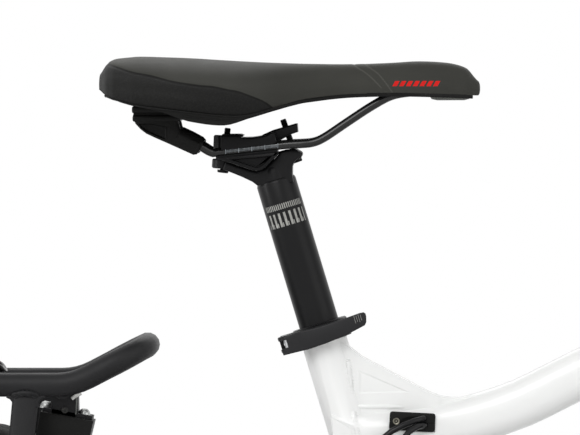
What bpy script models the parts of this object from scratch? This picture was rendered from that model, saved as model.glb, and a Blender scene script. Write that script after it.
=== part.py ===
# Electric trekking bike, built around its saddle, seat cluster and rear rack.
#
# Metres, +Z up, +X towards the front wheel, +Y to the rider's left. The origin is on the ground, straight
# under the rear axle. The bike stands upright on both tyres, with its side stand down.

import math

import bmesh
import bpy
from mathutils import Matrix, Vector

MM = 0.001

# Clearances
GAP = 0.3 * MM                  # between faces that touch
RUN = 1.0 * MM                  # round a part that turns or slides

# Wheels
WHEEL_RADIUS = 355 * MM
TYRE_WIDTH = 46 * MM
TREAD_HALF_WIDTH = 13 * MM
WHEEL_SEGMENTS = 40
RIM_RADIUS = 317 * MM
RIM_DEPTH = 19 * MM
RIM_WIDTH = 27 * MM
SPOKES = 24
SPOKE_DIAMETER = 2.4 * MM
DISC_RADIUS = 90 * MM
DISC_THICKNESS = 2 * MM
DISC_OFFSET = 44 * MM           # disc centre plane from the wheel's centre plane
AXLE_DIAMETER = 12 * MM

# Chain drive
LINK_PITCH = 12.7 * MM
CHAIN_LINKS = 102
CHAINRING_TEETH = 36
SPROCKET_TEETH = 18
CHAIN_LINE = 52 * MM            # chain's centre plane, to the right of the bike's
CHAIN_INNER_WIDTH = 3.3 * MM
CHAIN_PLATE = 1.5 * MM
CHAIN_HEIGHT = 8.4 * MM
ROLLER_HALF_LENGTH = 2.7 * MM
TOOTH_THICKNESS = 2.4 * MM
TOOTH_HEIGHT = 3.4 * MM         # above the pitch circle
TOOTH_DEPTH = 4.6 * MM          # below the pitch circle
CRANK_LENGTH = 170 * MM
CRANK_OFFSET = 76 * MM          # crank arm's centre plane from the bike's
PEDAL_OFFSET = 135 * MM

# Frame
BRACKET_HEIGHT = 300 * MM       # crank axle above the ground
SEAT_ANGLE = math.radians(73.17)
HEAD_ANGLE = math.radians(70.0)
WHEELBASE = 1135 * MM
FORK_OFFSET = 48 * MM
FORK_LENGTH = 475 * MM
FORK_TRAVEL = 63 * MM
HEAD_TUBE_LENGTH = 178 * MM
HEAD_TUBE_DIAMETER = 50 * MM
STEERER_DIAMETER = 28.6 * MM
SEAT_TUBE_DIAMETER = 36 * MM
SEAT_TUBE_LENGTH = 516 * MM     # crank axle to the top of the seat tube
DROPOUT_HALF_WIDTH = 67 * MM    # inner face of each dropout
DROPOUT_THICKNESS = 6 * MM
FRONT_HUB_HALF_WIDTH = 50 * MM

# Seatpost and saddle
POST_DIAMETER = 31.6 * MM
POST_LENGTH = 350 * MM
POST_EXPOSED = 147 * MM         # top of the seat tube to the rails over the post
POST_BORE_DEPTH = 330 * MM
RAIL_DIAMETER = 7 * MM
RAIL_SPACING = 44 * MM

# Rack and mudguards
RACK_TUBE = 19 * MM
RACK_HALF_WIDTH = 54 * MM
MUDGUARD_RADIUS = 369 * MM
MUDGUARD_WIDTH = 58 * MM
MUDGUARD_WALL = 2.5 * MM

# Controls
BAR_DIAMETER = 22.2 * MM
BAR_CLAMP_DIAMETER = 31.8 * MM
BAR_WIDTH = 660 * MM
STANCHION_DIAMETER = 32 * MM
STANCHION_SPACING = 134 * MM


# Helpers for directions and routes

def vec(x, y, z):
    return Vector((x, y, z))


X_AXIS = vec(1, 0, 0)
Y_AXIS = vec(0, 1, 0)
Z_AXIS = vec(0, 0, 1)


def chain_radius(teeth):
    return teeth * LINK_PITCH / (2 * math.pi)


RING_RADIUS = chain_radius(CHAINRING_TEETH)
SPROCKET_RADIUS = chain_radius(SPROCKET_TEETH)


def chain_length(distance):
    lean = math.asin((RING_RADIUS - SPROCKET_RADIUS) / distance)
    straight = 2 * distance * math.cos(lean)
    return straight + math.pi * (RING_RADIUS + SPROCKET_RADIUS) + 2 * lean * (RING_RADIUS - SPROCKET_RADIUS)


def chainstay_length():
    """The distance between the axles at which the chain closes on whole links."""
    low = 2 * RING_RADIUS
    high = CHAIN_LINKS * LINK_PITCH / 2
    for _ in range(60):
        middle = (low + high) / 2
        if chain_length(middle) < CHAIN_LINKS * LINK_PITCH:
            low = middle
        else:
            high = middle
    return (low + high) / 2


# Key points of the bike, in its middle plane
REAR_AXLE = vec(0, 0, WHEEL_RADIUS)
FRONT_AXLE = vec(WHEELBASE, 0, WHEEL_RADIUS)
CHAINSTAY = chainstay_length()
BRACKET = vec(math.sqrt(CHAINSTAY ** 2 - (WHEEL_RADIUS - BRACKET_HEIGHT) ** 2), 0, BRACKET_HEIGHT)
SEAT_UP = vec(-math.cos(SEAT_ANGLE), 0, math.sin(SEAT_ANGLE))
SEAT_FORWARD = vec(math.sin(SEAT_ANGLE), 0, math.cos(SEAT_ANGLE))
SEAT_TOP = BRACKET + SEAT_UP * SEAT_TUBE_LENGTH
HEAD_UP = vec(-math.cos(HEAD_ANGLE), 0, math.sin(HEAD_ANGLE))
HEAD_FORWARD = vec(math.sin(HEAD_ANGLE), 0, math.cos(HEAD_ANGLE))
STEER_FOOT = FRONT_AXLE - HEAD_FORWARD * FORK_OFFSET
CROWN_SEAT = STEER_FOOT + HEAD_UP * math.sqrt(FORK_LENGTH ** 2 - FORK_OFFSET ** 2)
HEAD_BOTTOM = CROWN_SEAT + HEAD_UP * 8 * MM
HEAD_TOP = HEAD_BOTTOM + HEAD_UP * HEAD_TUBE_LENGTH
CRADLE_SEAT = SEAT_TOP + SEAT_UP * POST_EXPOSED


def smooth_route(points, step):
    """Points about one step apart along a smooth curve through the given ones."""
    ends = [points[0] * 2 - points[1]] + list(points) + [points[-1] * 2 - points[-2]]
    route = []
    for before, start, stop, after in zip(ends, ends[1:], ends[2:], ends[3:]):
        pieces = max(1, round((stop - start).length / step))
        for k in range(pieces):
            t = k / pieces
            route.append(0.5 * (2 * start + (stop - before) * t
                                + (2 * before - 5 * start + 4 * stop - after) * t ** 2
                                + (3 * start - before - 3 * stop + after) * t ** 3))
    route.append(points[-1].copy())
    return route


def arc_points(centre, radius, first, last, count, across=X_AXIS, up=Z_AXIS):
    """Points on an arc, with angles in degrees measured from across towards up."""
    points = []
    for k in range(count + 1):
        angle = math.radians(first + (last - first) * k / count)
        points.append(centre + across * radius * math.cos(angle) + up * radius * math.sin(angle))
    return points


# Helpers for materials and objects

def finish(name, colour, roughness, metallic=0.0):
    material = bpy.data.materials.new(name)
    material.use_nodes = True
    shader = material.node_tree.nodes["Principled BSDF"]
    shader.inputs["Base Color"].default_value = (*colour, 1.0)
    shader.inputs["Roughness"].default_value = roughness
    shader.inputs["Metallic"].default_value = metallic
    material.diffuse_color = (*colour, 1.0)
    return material


def pivot(name, place, parent=None):
    """An empty on a joint's axis, which carries the pieces that turn or slide there."""
    empty = bpy.data.objects.new(name, None)
    empty["place"] = place
    empty.empty_display_size = 0.03
    bpy.context.scene.collection.objects.link(empty)
    origin = place
    if parent:
        empty.parent = parent
        origin = place - Vector(parent["place"])
    empty.location = origin
    return empty


def piece(name, bm, material, carrier, sharp=35):
    """Turns a bmesh in world coordinates into an object whose origin is on its carrier's axis."""
    bmesh.ops.recalc_face_normals(bm, faces=bm.faces)
    mesh = bpy.data.meshes.new(name)
    bmesh.ops.translate(bm, vec=-Vector(carrier["place"]), verts=bm.verts)
    bm.to_mesh(mesh)
    bm.free()
    mesh.materials.append(material)
    mesh.shade_smooth()
    mesh.set_sharp_from_angle(angle=math.radians(sharp))
    part = bpy.data.objects.new(name, mesh)
    part.parent = carrier
    bpy.context.scene.collection.objects.link(part)
    return part


def boolean(bm, others, operation):
    """Joins or cuts one bmesh with others, and gives back the result as a bmesh."""
    result = bm
    for other in others:
        meshes = []
        for source in (result, other):
            bmesh.ops.recalc_face_normals(source, faces=source.faces)
            mesh = bpy.data.meshes.new("operand")
            source.to_mesh(mesh)
            source.free()
            meshes.append(mesh)
        base = bpy.data.objects.new("operand_base", meshes[0])
        tool = bpy.data.objects.new("operand_tool", meshes[1])
        for temporary in (base, tool):
            bpy.context.scene.collection.objects.link(temporary)
        modifier = base.modifiers.new("operation", "BOOLEAN")
        modifier.operation = operation
        modifier.object = tool
        modifier.solver = "EXACT"
        bpy.context.view_layer.update()
        outcome = bpy.data.meshes.new_from_object(base.evaluated_get(bpy.context.evaluated_depsgraph_get()))
        result = bmesh.new()
        result.from_mesh(outcome)
        for temporary in (base, tool):
            bpy.data.objects.remove(temporary)
        for mesh in meshes + [outcome]:
            bpy.data.meshes.remove(mesh)
    bmesh.ops.dissolve_degenerate(result, dist=0.00001, edges=result.edges)
    return result


def join(bm, *others):
    return boolean(bm, others, "UNION")


def cut(bm, *others):
    return boolean(bm, others, "DIFFERENCE")


# Helpers for shapes

def add_rings(bm, rings, closed=False):
    """Skins a list of equal rings of points, with a cap on each end unless the rings close on themselves."""
    rows = [[bm.verts.new(point) for point in ring] for ring in rings]
    count = len(rows[0])
    pairs = list(zip(rows, rows[1:]))
    if closed:
        pairs.append((rows[-1], rows[0]))
    for low, high in pairs:
        for k in range(count):
            bm.faces.new((low[k], low[(k + 1) % count], high[(k + 1) % count], high[k]))
    if not closed:
        bm.faces.new(reversed(rows[0]))
        bm.faces.new(rows[-1])


def lofted(rings, closed=False):
    bm = bmesh.new()
    add_rings(bm, rings, closed)
    bmesh.ops.recalc_face_normals(bm, faces=bm.faces)
    return bm


def oval(centre, across, up, half_width, half_height, sides=12, power=2.0, turn=0.5):
    """A ring of points on an ellipse, or on a squarer form of it at a higher power."""
    ring = []
    for k in range(sides):
        angle = 2 * math.pi * (k + turn) / sides
        c = math.cos(angle)
        s = math.sin(angle)
        a = math.copysign(abs(c) ** (2 / power), c)
        b = math.copysign(abs(s) ** (2 / power), s)
        ring.append(centre + across * half_width * a + up * half_height * b)
    return ring


def swept(points, section, sides=12, power=2.0, side_hint=Y_AXIS):
    """A tube along points. section(t) gives half width across side_hint and half height, for t from 0 to 1."""
    rings = []
    for k, point in enumerate(points):
        ahead = points[min(k + 1, len(points) - 1)]
        behind = points[max(k - 1, 0)]
        tangent = (ahead - behind).normalized()
        across = (side_hint - tangent * side_hint.dot(tangent)).normalized()
        up = tangent.cross(across)
        half_width, half_height = section(k / (len(points) - 1))
        rings.append(oval(point, across, up, half_width, half_height, sides, power))
    return lofted(rings)


def round_tube(points, diameter, sides=10, side_hint=Y_AXIS):
    return swept(points, lambda t: (diameter / 2, diameter / 2), sides, 2.0, side_hint)


def tapered(points, first, last, sides=10, power=2.0, side_hint=Y_AXIS):
    """A tube whose (width, height) goes evenly from the first pair to the last."""
    def section(t):
        return ((first[0] + (last[0] - first[0]) * t) / 2, (first[1] + (last[1] - first[1]) * t) / 2)
    return swept(points, section, sides, power, side_hint)


def rod(start, stop, diameter, sides=12):
    hint = X_AXIS if abs((stop - start).normalized().dot(Y_AXIS)) > 0.7 else Y_AXIS
    return round_tube([start, stop], diameter, sides, hint)


def turned(profile, centre, axis, segments=24, across=None, closed=False):
    """Spins a profile of (radius, height) pairs round an axis. A profile that isn't closed starts and ends
    on the axis."""
    if across is None:
        across = X_AXIS if abs(axis.dot(X_AXIS)) < 0.7 else Z_AXIS
    across = (across - axis * across.dot(axis)).normalized()
    up = axis.cross(across)
    bm = bmesh.new()
    ring = []
    for radius, height in profile:
        if radius == 0:
            ring.append([bm.verts.new(centre + axis * height)] * segments)
            continue
        row = []
        for k in range(segments):
            angle = 2 * math.pi * (k + 0.5) / segments
            spoke = across * math.cos(angle) + up * math.sin(angle)
            row.append(bm.verts.new(centre + spoke * radius + axis * height))
        ring.append(row)
    pairs = list(zip(ring, ring[1:]))
    if closed:
        pairs.append((ring[-1], ring[0]))
    for low, high in pairs:
        for k in range(segments):
            n = (k + 1) % segments
            corners = []
            for vert in (low[k], low[n], high[n], high[k]):
                if vert not in corners:
                    corners.append(vert)
            bm.faces.new(corners)
    bmesh.ops.recalc_face_normals(bm, faces=bm.faces)
    return bm


def plate(outline, middle, thickness, across=X_AXIS, up=Z_AXIS):
    """Extrudes an outline of (across, up) pairs, half of the thickness to each side of its plane at middle."""
    normal = across.cross(up)
    bm = bmesh.new()
    base = middle - normal * thickness / 2
    face = bm.faces.new([bm.verts.new(base + across * a + up * b) for a, b in outline])
    bmesh.ops.recalc_face_normals(bm, faces=[face])
    grown = bmesh.ops.extrude_face_region(bm, geom=[face])
    tops = [item for item in grown["geom"] if isinstance(item, bmesh.types.BMVert)]
    bmesh.ops.translate(bm, vec=normal * thickness, verts=tops)
    bmesh.ops.recalc_face_normals(bm, faces=bm.faces)
    return bm


def side_plate(outline, y, thickness):
    """A plate in the plane of the wheels, from an outline of (x, z) pairs."""
    return plate(outline, vec(0, y, 0), thickness)


def block(centre, size, axes=(X_AXIS, Y_AXIS, Z_AXIS), bevel=0.0, segments=1):
    bm = bmesh.new()
    bmesh.ops.create_cube(bm, size=1.0)
    turn = Matrix(axes).transposed().to_4x4()
    bmesh.ops.scale(bm, vec=Vector(size), verts=bm.verts)
    if bevel:
        bmesh.ops.bevel(bm, geom=bm.edges, offset=bevel, segments=segments, affect="EDGES", profile=0.5)
    bmesh.ops.transform(bm, matrix=Matrix.Translation(centre) @ turn, verts=bm.verts)
    return bm


def rounded_outline(corners, radius, steps=3):
    """An outline of (a, b) corners with each corner replaced by a short arc."""
    outline = []
    count = len(corners)
    for k, corner in enumerate(corners):
        here = Vector(corner)
        back = Vector(corners[k - 1]) - here
        ahead = Vector(corners[(k + 1) % count]) - here
        reach = min(radius, 0.45 * back.length, 0.45 * ahead.length)
        start = here + back.normalized() * reach
        stop = here + ahead.normalized() * reach
        for n in range(steps + 1):
            t = n / steps
            point = start * (1 - t) ** 2 + here * 2 * t * (1 - t) + stop * t ** 2
            outline.append((point.x, point.y))
    return outline


def toothed_outline(teeth, radius, first_tooth):
    """A sprocket's outline round its own centre, with a pointed tooth in each of the chain's gaps."""
    outline = []
    step = 2 * math.pi / teeth
    root = 0.5 * step - (ROLLER_HALF_LENGTH + 0.8 * MM) / (radius - TOOTH_DEPTH)
    for k in range(teeth):
        middle = first_tooth + k * step
        for angle, reach in ((middle - root, -TOOTH_DEPTH), (middle, TOOTH_HEIGHT), (middle + root, -TOOTH_DEPTH)):
            outline.append(((radius + reach) * math.cos(angle), (radius + reach) * math.sin(angle)))
    return outline


def cord(name, points, diameter, material, carrier):
    """A cable as a curve with a round bevel and filled ends."""
    curve = bpy.data.curves.new(name, "CURVE")
    curve.dimensions = "3D"
    curve.bevel_depth = diameter / 2
    curve.bevel_resolution = 1
    curve.use_fill_caps = True
    spline = curve.splines.new("POLY")
    spline.points.add(len(points) - 1)
    for place, point in zip(spline.points, points):
        place.co = (*(point - Vector(carrier["place"])), 1.0)
    curve.materials.append(material)
    part = bpy.data.objects.new(name, curve)
    part.parent = carrier
    bpy.context.scene.collection.objects.link(part)
    return part


for old in list(bpy.data.objects):
    bpy.data.objects.remove(old)

# Finishes
WHITE_PAINT = finish("white_paint", (0.86, 0.87, 0.84), 0.18)
BLACK_POWDER = finish("black_powder_coat", (0.022, 0.022, 0.024), 0.55)
BLACK_SATIN = finish("black_anodised", (0.02, 0.02, 0.022), 0.32, 0.6)
BLACK_GLOSS = finish("black_enamel", (0.012, 0.012, 0.013), 0.12)
BLACK_PLASTIC = finish("black_plastic", (0.02, 0.02, 0.021), 0.45)
GREY_PLASTIC = finish("grey_plastic", (0.09, 0.09, 0.095), 0.5)
VINYL = finish("saddle_vinyl", (0.035, 0.035, 0.03), 0.5)
RUBBER = finish("rubber", (0.018, 0.018, 0.018), 0.8)
STEEL = finish("steel", (0.55, 0.55, 0.56), 0.3, 1.0)
ALUMINIUM = finish("aluminium", (0.7, 0.7, 0.71), 0.35, 1.0)
LENS = finish("lens", (0.75, 0.76, 0.78), 0.1)
RED_LENS = finish("red_lens", (0.45, 0.02, 0.02), 0.15)

# Joint axes
frame_axis = pivot("frame_axis", vec(0, 0, 0))
saddle_axis = pivot("saddle_axis", SEAT_TOP, frame_axis)
rear_axis = pivot("rear_wheel_axis", REAR_AXLE, frame_axis)
crank_axis = pivot("crank_axis", BRACKET, frame_axis)
steer_axis = pivot("steering_axis", HEAD_BOTTOM, frame_axis)
fork_axis = pivot("fork_slide_axis", CROWN_SEAT, steer_axis)
front_axis = pivot("front_wheel_axis", FRONT_AXLE, fork_axis)

# The seatpost's head and the saddle are placed from the point where the rails cross over the post.
# A place there is (forward, up) in metres, at a distance y to the left.
RAIL_SLOPE = 0.11
RAIL_RISE = 0.12 * MM


def at_rails(forward, up, y=0.0):
    return CRADLE_SEAT + vec(forward, y, up)


def rail_height(forward):
    return RAIL_SLOPE * forward + RAIL_RISE


def head_plate(outline, thickness):
    """A plate in the bike's middle plane, from an outline in millimetres from the rails' crossing point."""
    return plate([(a * MM, b * MM) for a, b in outline], CRADLE_SEAT, thickness)


RAIL_HALF = RAIL_SPACING / 2
CLAMP_HALF_WIDTH = RAIL_HALF + RAIL_DIAMETER / 2
REAR_BOLT = (at_rails(-32.8 * MM, -20.5 * MM), at_rails(-28.6 * MM, 15 * MM))
FRONT_BOLT = (at_rails(24.6 * MM, -11.5 * MM), at_rails(14.9 * MM, 21.4 * MM))
BOLT_DIAMETER = 5 * MM


def rail_grooves():
    """Cutters as wide as the rails, for the cradle below them and the clamp above them."""
    cutters = []
    for side in (-1, 1):
        start = at_rails(-48 * MM, rail_height(-48 * MM), side * RAIL_HALF)
        stop = at_rails(22 * MM, rail_height(22 * MM), side * RAIL_HALF)
        cutters.append(rod(start, stop, RAIL_DIAMETER + 2 * GAP, 16))
    return cutters


def bolt_holes():
    holes = []
    for start, stop in (REAR_BOLT, FRONT_BOLT):
        along = (stop - start).normalized()
        holes.append(rod(start - along * 0.02, stop + along * 0.02, BOLT_DIAMETER + 2 * GAP, 12))
    return holes


def head_bolt(name, ends, head_diameter, head_height):
    start, stop = ends
    along = (stop - start).normalized()
    radius = BOLT_DIAMETER / 2
    length = (stop - start).length
    profile = [(0, -head_height), (head_diameter / 2, -head_height), (head_diameter / 2, 0), (radius, 0),
               (radius, length), (0, length)]
    piece(name, turned(profile, start, along, 12), STEEL, saddle_axis)


CRADLE_OUTLINE = [(-39.5, -10.5), (-22.6, -14.0), (-11.6, -17.6), (-6.9, -18.8), (-0.6, -16.8), (4.1, -12.1),
                  (10.4, -5.4), (10.4, -0.6), (-39.5, -6.1)]
CLAMP_OUTLINE = [(-40.0, -2.6), (8.0, 2.4), (12.0, 7.0), (25.5, 11.0), (25.5, 17.7), (8.0, 13.0), (4.0, 10.7),
                 (-2.2, 9.1), (-18.7, 7.1), (-40.0, 8.7)]
HEAD_OUTLINE = [(-40.0, -10.95), (-22.75, -14.4), (-11.9, -17.95), (-6.9, -19.2), (-0.3, -17.15), (4.5, -12.3),
                (10.9, -5.6), (10.9, -3.6), (23.0, -1.8), (29.0, -2.6), (30.5, -5.5), (29.5, -8.5),
                (24.0, -11.6), (22.4, -14.0), (22.4, -21.0), (24.0, -25.0), (16.0, -34.0), (-4.0, -34.0),
                (-8.9, -26.7), (-24.0, -21.8), (-36.0, -19.4), (-40.0, -17.5)]


def make_seatpost():
    below = SEAT_TOP - SEAT_UP * (POST_LENGTH - POST_EXPOSED)
    radius = POST_DIAMETER / 2
    rings = []
    for distance, share in ((0.0, 1.0), (-34 * MM, 1.0), (-22 * MM, 0.94), (-14 * MM, 0.7)):
        centre = below if distance == 0 else CRADLE_SEAT + SEAT_UP * distance
        rings.append(oval(centre, Y_AXIS, SEAT_FORWARD, radius * share, radius * min(1, share + 0.05), 24))
    post = lofted(rings)
    head = head_plate(HEAD_OUTLINE, 25 * MM)
    bmesh.ops.bevel(head, geom=[e for e in head.edges if abs(e.verts[0].co.y - e.verts[1].co.y) < 1e-6],
                    offset=2.0 * MM, segments=1, affect="EDGES")
    post = join(post, head)
    seat = [(a, b) for a, b in HEAD_OUTLINE[:8]]
    pocket = head_plate(seat + [(10.9, 20.0), (-60.0, 20.0), (-60.0, -6.0)], 60 * MM)
    bore = rod(below - SEAT_UP * 0.01, below + SEAT_UP * 0.2, POST_DIAMETER - 6 * MM, 12)
    start, stop = FRONT_BOLT
    head_room = rod(start - (stop - start).normalized() * 10 * MM, start, 8.4 * MM, 12)
    post = cut(post, pocket, bore, head_room, *bolt_holes())
    piece("seatpost", post, BLACK_SATIN, saddle_axis)


def make_rail_cradle():
    cradle = head_plate(CRADLE_OUTLINE, 2 * CLAMP_HALF_WIDTH)
    recess_outline = [(-31.0, -9.4), (-9.0, -16.2), (-2.0, -13.6), (3.6, -7.0)]
    pockets = []
    for side in (-1, 1):
        middle = CRADLE_SEAT + Y_AXIS * side * CLAMP_HALF_WIDTH
        pockets.append(plate([(a * MM, b * MM) for a, b in recess_outline], middle, 6 * MM))
    cradle = cut(cradle, *rail_grooves(), *pockets, *bolt_holes())
    piece("rail_cradle", cradle, BLACK_SATIN, saddle_axis)


def make_rail_clamp():
    clamp = head_plate(CLAMP_OUTLINE, 2 * CLAMP_HALF_WIDTH)
    notches = []
    for side in (-1, 1):
        y = side * 34 * MM
        notches.append(block(at_rails(27 * MM, 12 * MM, y), (46 * MM, 48 * MM, 40 * MM)))
        notches.append(block(at_rails(-45 * MM, 4 * MM, y), (24 * MM, 44 * MM, 40 * MM)))
    clamp = cut(clamp, *rail_grooves(), *notches, *bolt_holes())
    piece("rail_clamp", clamp, BLACK_SATIN, saddle_axis)


# The saddle: each station is (distance from the back end, half width, top, side edge, shell thickness),
# with heights from the rails' crossing point, all in millimetres.
SADDLE_BACK = -129.6 * MM
SADDLE_STATIONS = [(0.3, 30, 57.5, 45.0, 0.9), (5, 50, 65.4, 41.4, 0.9), (12, 63, 69.6, 38.2, 0.9),
                   (28, 78, 72.0, 33.4, 1.0), (50, 88, 71.7, 30.2, 2.6), (72, 91, 70.9, 27.4, 7.4),
                   (100, 86, 69.3, 24.4, 7.8), (118, 74, 68.4, 24.9, 3.2), (140, 53, 67.6, 31.4, 2.6),
                   (160, 38, 67.1, 37.2, 2.6), (190, 29, 66.6, 40.8, 2.6), (225, 24, 66.7, 41.5, 2.6),
                   (255, 21, 67.0, 40.9, 2.6), (275, 19, 65.5, 40.4, 2.6), (288, 15.5, 61.4, 40.2, 2.6),
                   (296.5, 8, 51.5, 40.3, 2.4)]
FOAM_DEPTH = 27 * MM
NOSE_DEPTH = 13 * MM           # of the foam over the rails' front ends
UNDERSIDE = (-0.95, -0.72, -0.4, 0.0, 0.4, 0.72, 0.95)
CHANNEL_DEPTH = 3.0 * MM
CHANNEL_HALF_WIDTH = 9 * MM


def saddle_rows(step):
    """The stations, filled in to about one step apart along a smooth curve."""
    knots = SADDLE_STATIONS
    rows = []
    for k in range(len(knots) - 1):
        before = knots[max(k - 1, 0)]
        start = knots[k]
        stop = knots[k + 1]
        after = knots[min(k + 2, len(knots) - 1)]
        pieces = max(1, round((stop[0] - start[0]) * MM / step))
        for n in range(pieces):
            t = n / pieces
            row = []
            for b, s, e, a in zip(before, start, stop, after):
                row.append(0.5 * (2 * s + (e - b) * t + (2 * b - 5 * s + 4 * e - a) * t * t
                                  + (3 * s - b - 3 * e + a) * t ** 3))
            row[0] = start[0] + (stop[0] - start[0]) * t
            rows.append([value * MM for value in row])
    rows.append([value * MM for value in knots[-1]])
    return rows


def foam_under(row, across):
    """Height of the foam's underside, for across from 0 at the middle to 1 at the edge."""
    along, _, top, edge, _ = row
    nose = min(1, max(0, (along - 0.17) / 0.06))
    middle = max(edge, top - FOAM_DEPTH + (FOAM_DEPTH - NOSE_DEPTH) * nose)
    return edge + (middle - edge) * (1 - across ** 2.6)


def cushion_ring(row, top_points=11):
    along, half, top, edge, _ = row
    ring = []
    channel = CHANNEL_DEPTH * max(0.0, math.sin(math.pi * min(1, max(0, (along - 0.03) / 0.215))))
    crown = math.pi / 2
    for across in UNDERSIDE:
        ring.append((across * half, foam_under(row, abs(across))))
    for k in range(top_points):
        angle = crown * (1 - 2 * k / (top_points - 1))
        y = half * math.copysign(abs(math.sin(angle)) ** 0.72, math.sin(angle))
        lift = abs(math.cos(angle)) ** 0.78
        y *= 0.95 + 0.05 * math.sin(math.pi * min(1, lift * 1.6))
        z = edge + (top - edge) * lift
        z -= channel * math.exp(-(y / CHANNEL_HALF_WIDTH) ** 2)
        ring.append((y, z))
    return [at_rails(SADDLE_BACK + along, z, y) for y, z in ring]


def shell_ring(row):
    along, half, top, edge, thickness = row
    upper = []
    lower = []
    for across in UNDERSIDE:
        y = across * half
        z = foam_under(row, abs(across)) - 2 * GAP
        depth = 2.4 * MM + (thickness - 2.4 * MM) * abs(across / 0.95) ** 4
        upper.append(at_rails(SADDLE_BACK + along, z, y))
        lower.append(at_rails(SADDLE_BACK + along, z - depth, y))
    return upper + lower[::-1]


def make_saddle():
    cover = lofted([cushion_ring(row) for row in saddle_rows(14 * MM)])
    bmesh.ops.triangulate(cover, faces=cover.faces, quad_method="FIXED")
    piece("saddle_cover", cover, VINYL, saddle_axis, 60)
    rows = [row for row in saddle_rows(14 * MM) if 4 * MM < row[0] < 292 * MM]
    shell = lofted([shell_ring(row) for row in rows])
    bmesh.ops.triangulate(shell, faces=shell.faces, quad_method="FIXED")
    bosses = [block(at_rails(x * MM, 38.0 * MM, side * 20 * MM), (9 * MM, 12 * MM, 9 * MM))
              for x in (-97, -70) for side in (-1, 1)]
    socket = head_plate(NOSE_SOCKET, 18 * MM)
    rails = saddle_rail_path(RAIL_DIAMETER + 2 * GAP)
    shell = cut(join(shell, socket, *bosses), rails)
    piece("saddle_shell", shell, BLACK_PLASTIC, saddle_axis)


RAIL_HALF_ROUTE = [(-58.0, 4.6, 27), (-50.0, 0.6, 25), (-41.5, -4.2, 22.3), (-34.0, -3.6, 22), (14.0, 1.66, 22),
                   (29.0, 2.6, 22), (37.5, 3.6, 21.6), (46.5, 7.4, 21), (65.3, 20.0, 18.6), (84.0, 32.2, 16),
                   (100.0, 40.4, 13.5), (118.0, 43.2, 10.5), (134.0, 43.8, 8.6), (143.0, 43.9, 5)]
NOSE_SOCKET = [(129.5, 36.6), (158.0, 37.2), (158.5, 41.0), (151.8, 47.6), (131.8, 50.5), (129.5, 44.0)]


def saddle_rail_path(diameter):
    half = [at_rails(a * MM, b * MM, y * MM) for a, b, y in RAIL_HALF_ROUTE]
    mirrored = [at_rails(a * MM, b * MM, -y * MM) for a, b, y in RAIL_HALF_ROUTE]
    route = smooth_route(mirrored, 16 * MM) + [at_rails(146 * MM, 43.9 * MM)]
    return round_tube(route + smooth_route(half, 16 * MM)[::-1], diameter, 8, Z_AXIS)


def make_saddle_rails():
    piece("saddle_rails", saddle_rail_path(RAIL_DIAMETER), BLACK_GLOSS, saddle_axis, 60)


BLOCK_OUTLINE = [(-103.6, 24.2), (-103.6, 23.8), (-101.3, 17.3), (-93.3, 10.1), (-77.2, 2.9), (-58.0, -5.6),
                 (-55.0, -6.4), (-51.7, -4.2), (-48.4, 4.6), (-64.4, 14.1), (-66.0, 20.6), (-66.0, 24.2)]


def make_rear_block():
    """The saddle's rear rail block: two lips under the shell, and a socket for each rail."""
    lower_lip = block(at_rails(-84 * MM, 26.3 * MM), (40 * MM, 70 * MM, 4.6 * MM), bevel=1.6 * MM)
    upper_lip = block(at_rails(-84 * MM, 30.9 * MM), (36 * MM, 66 * MM, 4.9 * MM), bevel=1.6 * MM)
    legs = []
    pockets = []
    for side in (-1, 1):
        middle = CRADLE_SEAT + Y_AXIS * side * 26 * MM
        legs.append(plate([(a * MM, b * MM) for a, b in BLOCK_OUTLINE], middle, 15 * MM))
        pocket = [(-98.0, 17.0), (-92.0, 11.4), (-78.5, 5.4), (-78.5, 17.0)]
        pockets.append(plate([(a * MM, b * MM) for a, b in pocket],
                             CRADLE_SEAT + Y_AXIS * side * 33.5 * MM, 8 * MM))
    block_body = join(lower_lip, upper_lip, *legs)
    block_body = cut(block_body, *pockets, saddle_rail_path(RAIL_DIAMETER + 2 * GAP))
    piece("saddle_rear_block", block_body, BLACK_PLASTIC, saddle_axis)


# Seat collar, clamped by a lever on the right side whose pin stands behind the seat tube
COLLAR_HEIGHT = 15 * MM
COLLAR_WALL = 4 * MM
COLLAR_CENTRE = SEAT_TOP - SEAT_UP * 5.5 * MM
CAM_RADIUS = 6 * MM


def by_collar(forward, y, up=0.0):
    return COLLAR_CENTRE + SEAT_FORWARD * forward + Y_AXIS * y + SEAT_UP * up


CAM_CENTRE = by_collar(-28 * MM, -16 * MM)


def make_seat_collar():
    inner = SEAT_TUBE_DIAMETER / 2 + GAP
    outer = inner + COLLAR_WALL
    half = COLLAR_HEIGHT / 2
    lip = POST_DIAMETER / 2 + 1.2 * MM
    profile = [(inner, -half), (outer, -half), (outer, half - 1.2 * MM), (outer - 1.2 * MM, half), (lip, half),
               (lip, 5.5 * MM + GAP), (inner, 5.5 * MM + GAP)]
    ring = turned(profile, COLLAR_CENTRE, SEAT_UP, 24, SEAT_FORWARD, closed=True)
    ears = block(by_collar(-26 * MM, 0), (15 * MM, 19 * MM, 13 * MM), (SEAT_FORWARD, Y_AXIS, SEAT_UP), 1.5 * MM)
    slit = block(by_collar(-28 * MM, 0), (30 * MM, 2 * MM, 30 * MM), (SEAT_FORWARD, Y_AXIS, SEAT_UP))
    hole = rod(by_collar(-28 * MM, -30 * MM), by_collar(-28 * MM, 30 * MM), 5 * MM + 2 * GAP)
    tube_room = rod(COLLAR_CENTRE - SEAT_UP * 0.03, COLLAR_CENTRE + SEAT_UP * (5.5 * MM + GAP), 2 * inner, 24)
    collar = cut(join(ring, ears), tube_room, slit, hole)
    piece("seat_collar", collar, BLACK_SATIN, frame_axis)


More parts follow.
